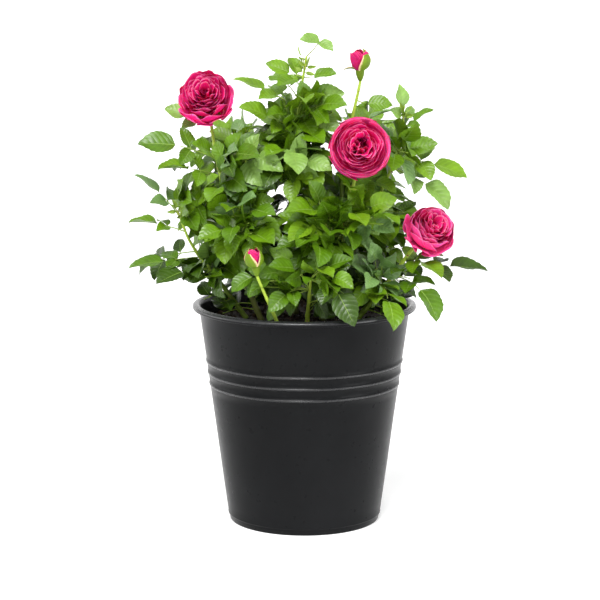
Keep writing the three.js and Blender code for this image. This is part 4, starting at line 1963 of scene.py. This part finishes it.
@dataclass(frozen=True)
class Sepal:
    """One sepal.

    Attributes:
        turn: Its place round the axis, in degrees.
        length: Its length in metres.
        gape: The angle by which it bends away from the axis; none for one that hugs the bud.
        wide: Half of the angle that it spans on a bud, in radians.
        lift: How far it bulges off the bud, in metres.
    """

    turn: float
    length: float
    gape: float | None = None
    wide: float = 0.85
    lift: float = 0.0


@dataclass
class Calyx:
    """A flower's hip with its sepals."""

    flower: Flower
    hip: float
    tilt: np.ndarray
    finish: bpy.types.Material
    sepals: Sequence[Sepal]

    ACROSS = (-1.0, -0.5, 0.0, 0.5, 1.0)
    STEPS = np.linspace(0.0, 1.0, 10)

    def egg(self, share: np.ndarray) -> np.ndarray:
        """Returns a bud's radius along it, in metres."""
        return self.flower.radius * np.sin(math.pi * np.clip(share, 0, 1) ** 0.72) ** 0.62

    def hugging(self, sepal: Sepal) -> np.ndarray:
        """Returns the points of a sepal that lies on a bud."""
        tall = self.flower.depth - self.hip
        rows = []
        for step in self.STEPS:
            share = 0.04 + step * sepal.length / tall
            radius = (self.egg(np.array(share)) * 0.97 + 0.5 * MM + 1.2 * MM * step ** 4
                      + sepal.lift * math.sin(math.pi * step))
            for side in self.ACROSS:
                angle = side * sepal.wide * (1 - step ** 1.3) + math.radians(sepal.turn)
                rows.append((radius * math.cos(angle), radius * math.sin(angle),
                             self.hip * 0.85 + share * tall))
        return np.array(rows)

    def gaping(self, sepal: Sepal) -> np.ndarray:
        """Returns the points of a sepal that bends away."""
        steps = self.STEPS
        angle = sepal.gape * (0.45 + 0.55 * steps ** 0.7)
        ways = np.column_stack([np.sin(angle), np.cos(angle)])
        run = np.concatenate([[[0.0, 0.0]], np.cumsum(ways[:-1], axis=0) * sepal.length / 9])
        half = 0.16 * sepal.length * (1 - steps) ** 0.7 * (0.5 + steps) + 0.15 * MM
        turn = math.radians(sepal.turn)
        rows = []
        for (out, rise), width in zip(run, half):
            for side in self.ACROSS:
                x, y = 0.3 * self.hip + out, side * width
                rows.append((x * math.cos(turn) - y * math.sin(turn),
                             x * math.sin(turn) + y * math.cos(turn),
                             self.hip * 0.9 + rise + 1.1 * abs(y)))
        return np.array(rows)

    def build(self) -> None:
        """Builds the calyx and hands it over."""
        cup = Patchwork("calyx_" + self.flower.name, [self.finish])
        share = self.STEPS
        swell = 1.3 * MM + 0.36 * self.hip * share ** 0.7 * (1 - 0.3 * share ** 4)
        points, faces, _ = lathe(np.column_stack([swell, share * self.hip]), 16)
        cup.add(self.flower.place(points, self.tilt), faces, np.full((len(points), 2), 0.5))
        across, along = np.meshgrid(np.linspace(0.0, 1.0, len(self.ACROSS)), share)
        places = np.column_stack([across.ravel(), along.ravel()])
        for sepal in self.sepals:
            local = self.hugging(sepal) if sepal.gape is None else self.gaping(sepal)
            cup.add(self.flower.place(local, self.tilt),
                    [grid_faces(len(share), len(self.ACROSS))], places)
        hand_over(cup.build(), "leaf")


@dataclass
class RoseBud:
    """A bud of wrapped petals that shows between its sepals."""

    flower: Flower
    petals: bpy.types.Material
    sepal: bpy.types.Material
    sepals: Sequence[Sepal]
    lean: float
    open: float
    seed: int

    FRONT = np.array([0.0, -1.0, 0.0])

    def build(self) -> None:
        """Builds the bud and hands its pieces over."""
        flower = self.flower
        rng = np.random.default_rng(self.seed)
        hip = 0.32 * flower.depth
        tall = flower.depth - hip
        bud = Patchwork("petals_" + flower.name, [self.petals])
        for number in range(10):
            inner = number / 9
            petal = Petal(
                turn=math.radians(self.lean) + number * 2.2, foot=(0.3, 0.0),
                belly=(1.5 - 0.35 * inner, 0.42),
                rim=(self.open * (1 - 0.6 * inner), 0.97 - 0.07 * inner - rng.uniform(0, 0.05)),
                spread=1.2, roll=0.16 * (1 - inner) ** 2, ruffle=0.035, point=0.75,
                phase=rng.uniform(0, 2 * math.pi))
            points, places = petal.surface()
            local = np.column_stack([points[:, :2] * flower.radius * 0.98,
                                     hip * 0.85 + points[:, 2] * tall * 0.98])
            bud.add(flower.place(local, self.FRONT), [grid_faces(Petal.ROWS, Petal.COLUMNS)],
                    places)
        hand_over(bud.build(), "petal", flower.name)
        Calyx(flower, hip, self.FRONT, self.sepal, self.sepals).build()


# ----- Studio -----


@dataclass(frozen=True)
class Studio:
    """The plain pale floor, soft light and the camera.

    Attributes:
        eye: The camera's place.
        pitch: How far the camera looks down, in degrees.
        lens: Its lens in millimetres on a sensor 36 mm wide.
        sky: Strength of the light from all round.
    """

    eye: tuple[float, float, float] = (-0.00433, -2.26506, 0.61866)
    pitch: float = 10.0
    lens: float = 140.3
    sky: float = 0.62

    def floor(self) -> None:
        """Lays the round floor, whose edge sweeps up into a low wall."""
        flat, sweep, tall = 5.0, 1.5, 3.0
        turns = np.linspace(0.0, math.pi / 2, 12)
        profile = [(0.02, 0.0), (flat, 0.0)]
        profile += [(flat + sweep * math.sin(t), sweep - sweep * math.cos(t)) for t in turns[1:]]
        profile += [(flat + sweep, tall)]
        bowl = Patchwork("pale_bowl", [StageFinish().make()])
        points, faces, places = lathe(np.array(profile), 96)
        bowl.add(points, [faces[0][:, ::-1], faces[1][:, ::-1]], places)
        bowl.build()

    def lamp(self, name: str, kind: str, place: tuple[float, float, float],
             aim: tuple[float, float, float], **settings: float) -> None:
        """Hangs a lamp.

        Args:
            name: Its name.
            kind: What kind of lamp it is.
            place: Where it hangs.
            aim: The place that it shines at.
            **settings: Its size or its angle, and its energy.
        """
        data = bpy.data.lights.new(name, kind)
        for key, value in settings.items():
            setattr(data, key, value)
        lamp = put(name, data)
        lamp.location = place
        way = Vector(aim) - Vector(place)
        lamp.rotation_euler = way.to_track_quat("-Z", "Y").to_euler()

    def camera(self) -> None:
        """Sets the camera."""
        data = bpy.data.cameras.new("camera")
        data.lens = self.lens
        data.sensor_width = 36.0
        camera = put("camera", data)
        camera.location = self.eye
        camera.rotation_euler = (math.radians(90 - self.pitch), 0.0, 0.0)
        bpy.context.scene.camera = camera

    def build(self) -> None:
        """Sets the camera, the floor, the lamps and the surrounding light."""
        self.camera()
        self.floor()
        self.lamp("soft_daylight", "SUN", (-0.14, -0.8, 1.2), (0.0, 0.0, 0.0),
                  energy=2.6, angle=math.radians(24))
        for name, place, size, power in (("overhead_softbox", (-0.45, -0.9, 1.75), 1.4, 17.0),
                                         ("left_softbox", (-1.5, 0.25, 0.6), 0.8, 4.0),
                                         ("right_softbox", (1.3, -0.7, 0.7), 0.8, 9.0)):
            self.lamp(name, "AREA", place, (0.0, 0.0, 0.28), size=size, energy=power)
        world = bpy.data.worlds.new("studio")
        world.use_nodes = True
        sky = world.node_tree.nodes["Background"]
        sky.inputs["Color"].default_value = (1.0, 1.0, 1.0, 1.0)
        sky.inputs["Strength"].default_value = self.sky
        bpy.context.scene.world = world
        bpy.context.scene.view_settings.view_transform = "Standard"


# ----- The whole plant -----


# Foot, body and rim of each petal finish: the darker feet are painted shade deep in the bloom, the
# light rims painted highlights.
PETAL_COLOURS = {
    "guard": ((0.68, 0.02, 0.18), (0.77, 0.060, 0.26), (0.84, 0.19, 0.42)),
    "outer": ((0.68, 0.004, 0.145), (0.76, 0.018, 0.195), (0.84, 0.14, 0.37)),
    # Near-black colours that paint shade in the sunken eye.
    "pit": ((0.14, 0.0, 0.02), (0.26, 0.001, 0.045), (0.60, 0.04, 0.17)),
    "body": ((0.66, 0.002, 0.13), (0.75, 0.014, 0.185), (0.85, 0.17, 0.40)),
    "heart": ((0.48, 0.0, 0.055), (0.71, 0.010, 0.155), (0.85, 0.19, 0.39)),
    "pale_body": ((0.64, 0.004, 0.14), (0.76, 0.036, 0.22), (0.84, 0.21, 0.43)),
    "pale_heart": ((0.52, 0.0, 0.07), (0.67, 0.019, 0.165), (0.84, 0.21, 0.39)),
    "bud": ((0.46, 0.012, 0.11), (0.50, 0.014, 0.12), (0.72, 0.06, 0.18)),
}
BUDS = {
    "bud_top": (-75.0, 0.8, [
        Sepal(48, 24 * MM, wide=1.1, lift=1.8 * MM), Sepal(-95, 14 * MM, gape=2.1),
        Sepal(130, 12 * MM), Sepal(172, 16 * MM), Sepal(-150, 13 * MM)]),
    "bud_low": (-35.0, 0.5, [
        Sepal(-44, 19 * MM, wide=1.25), Sepal(78, 20 * MM, wide=1.05), Sepal(140, 19 * MM),
        Sepal(180, 17 * MM), Sepal(-126, 18 * MM)]),
}


def clearings(flowers: Sequence[Flower]) -> list[Clearing]:
    """Returns the spaces in front of the flowers that leaves keep out of."""
    spaces = []
    for flower in flowers:
        centre = flower.foot + flower.way * flower.depth * 0.62
        margin = 1.04 if flower.name.startswith("bloom") else 1.4
        spaces.append(Clearing(centre, flower.way, flower.radius * margin, 45 * MM))
        front = np.array([0.0, -0.985, 0.174])
        spaces.append(Clearing(centre, front, flower.radius * (margin - 0.04), 120 * MM))
    return spaces


def main() -> None:
    """Builds the studio and the plant, piece by piece."""
    logging.basicConfig(level=logging.INFO, format="%(name)s: %(message)s")
    Studio().build()
    pot = Pot()
    pot.build()
    CompostBed().build()
    canes = [Cane.read(node) for node in nodes_starting("cane_")]
    flowers = [Flower.read(node, canes) for node in nodes_starting("b")]
    Canes(canes).build()
    foliage = Foliage(
        mould=LeafletMould(), clearings=clearings(flowers), pot_rim=pot.rim,
        pot_top=pot.height, low=np.array(CAD_BOX[0]) - LEAF_MARGIN,
        high=np.array(CAD_BOX[1]) + LEAF_MARGIN,
        blade_finishes={tone: LeafFinish(tone).make() for tone in LeafTone},
        stalk_finishes=[
            StemFinish("leaf_stalk", (0.24, 0.36, 0.05), (0.33, 0.42, 0.09)).make(),
            StemFinish("green_twig", (0.18, 0.29, 0.03), (0.28, 0.32, 0.06)).make(),
            StemFinish("young_stalk", (0.38, 0.44, 0.08), (0.48, 0.32, 0.10)).make(),
            StemFinish("leaf_midrib", (0.20, 0.32, 0.06), (0.27, 0.39, 0.09)).make()])
    Crown(canes, foliage, bare={
        "left_bloom": 14 * MM, "centre_bloom": 14 * MM, "right_bloom": 14 * MM,
        "top_bud": 34 * MM, "low_bud": 34 * MM}).build()
    petals = {name: PetalFinish("petal_" + name, *colours).make()
              for name, colours in PETAL_COLOURS.items()}
    deep, pale = ([petals[name] for name in names] for names in (
        ("outer", "body", "heart", "guard", "pit"),
        ("guard", "pale_body", "pale_heart", "guard", "pit")))
    sepal = SepalFinish().make()
    for number, flower in enumerate(flowers):
        if flower.name in HABITS:
            habit = HABITS[flower.name]
            Rose(flower, habit, pale if habit.pale else deep, sepal, 60 + number).build()
        else:
            lean, gape, sepals = BUDS[flower.name]
            RoseBud(flower, petals["bud"], sepal, sepals, lean, gape, 60 + number).build()


if __name__ == "__main__":
    main()
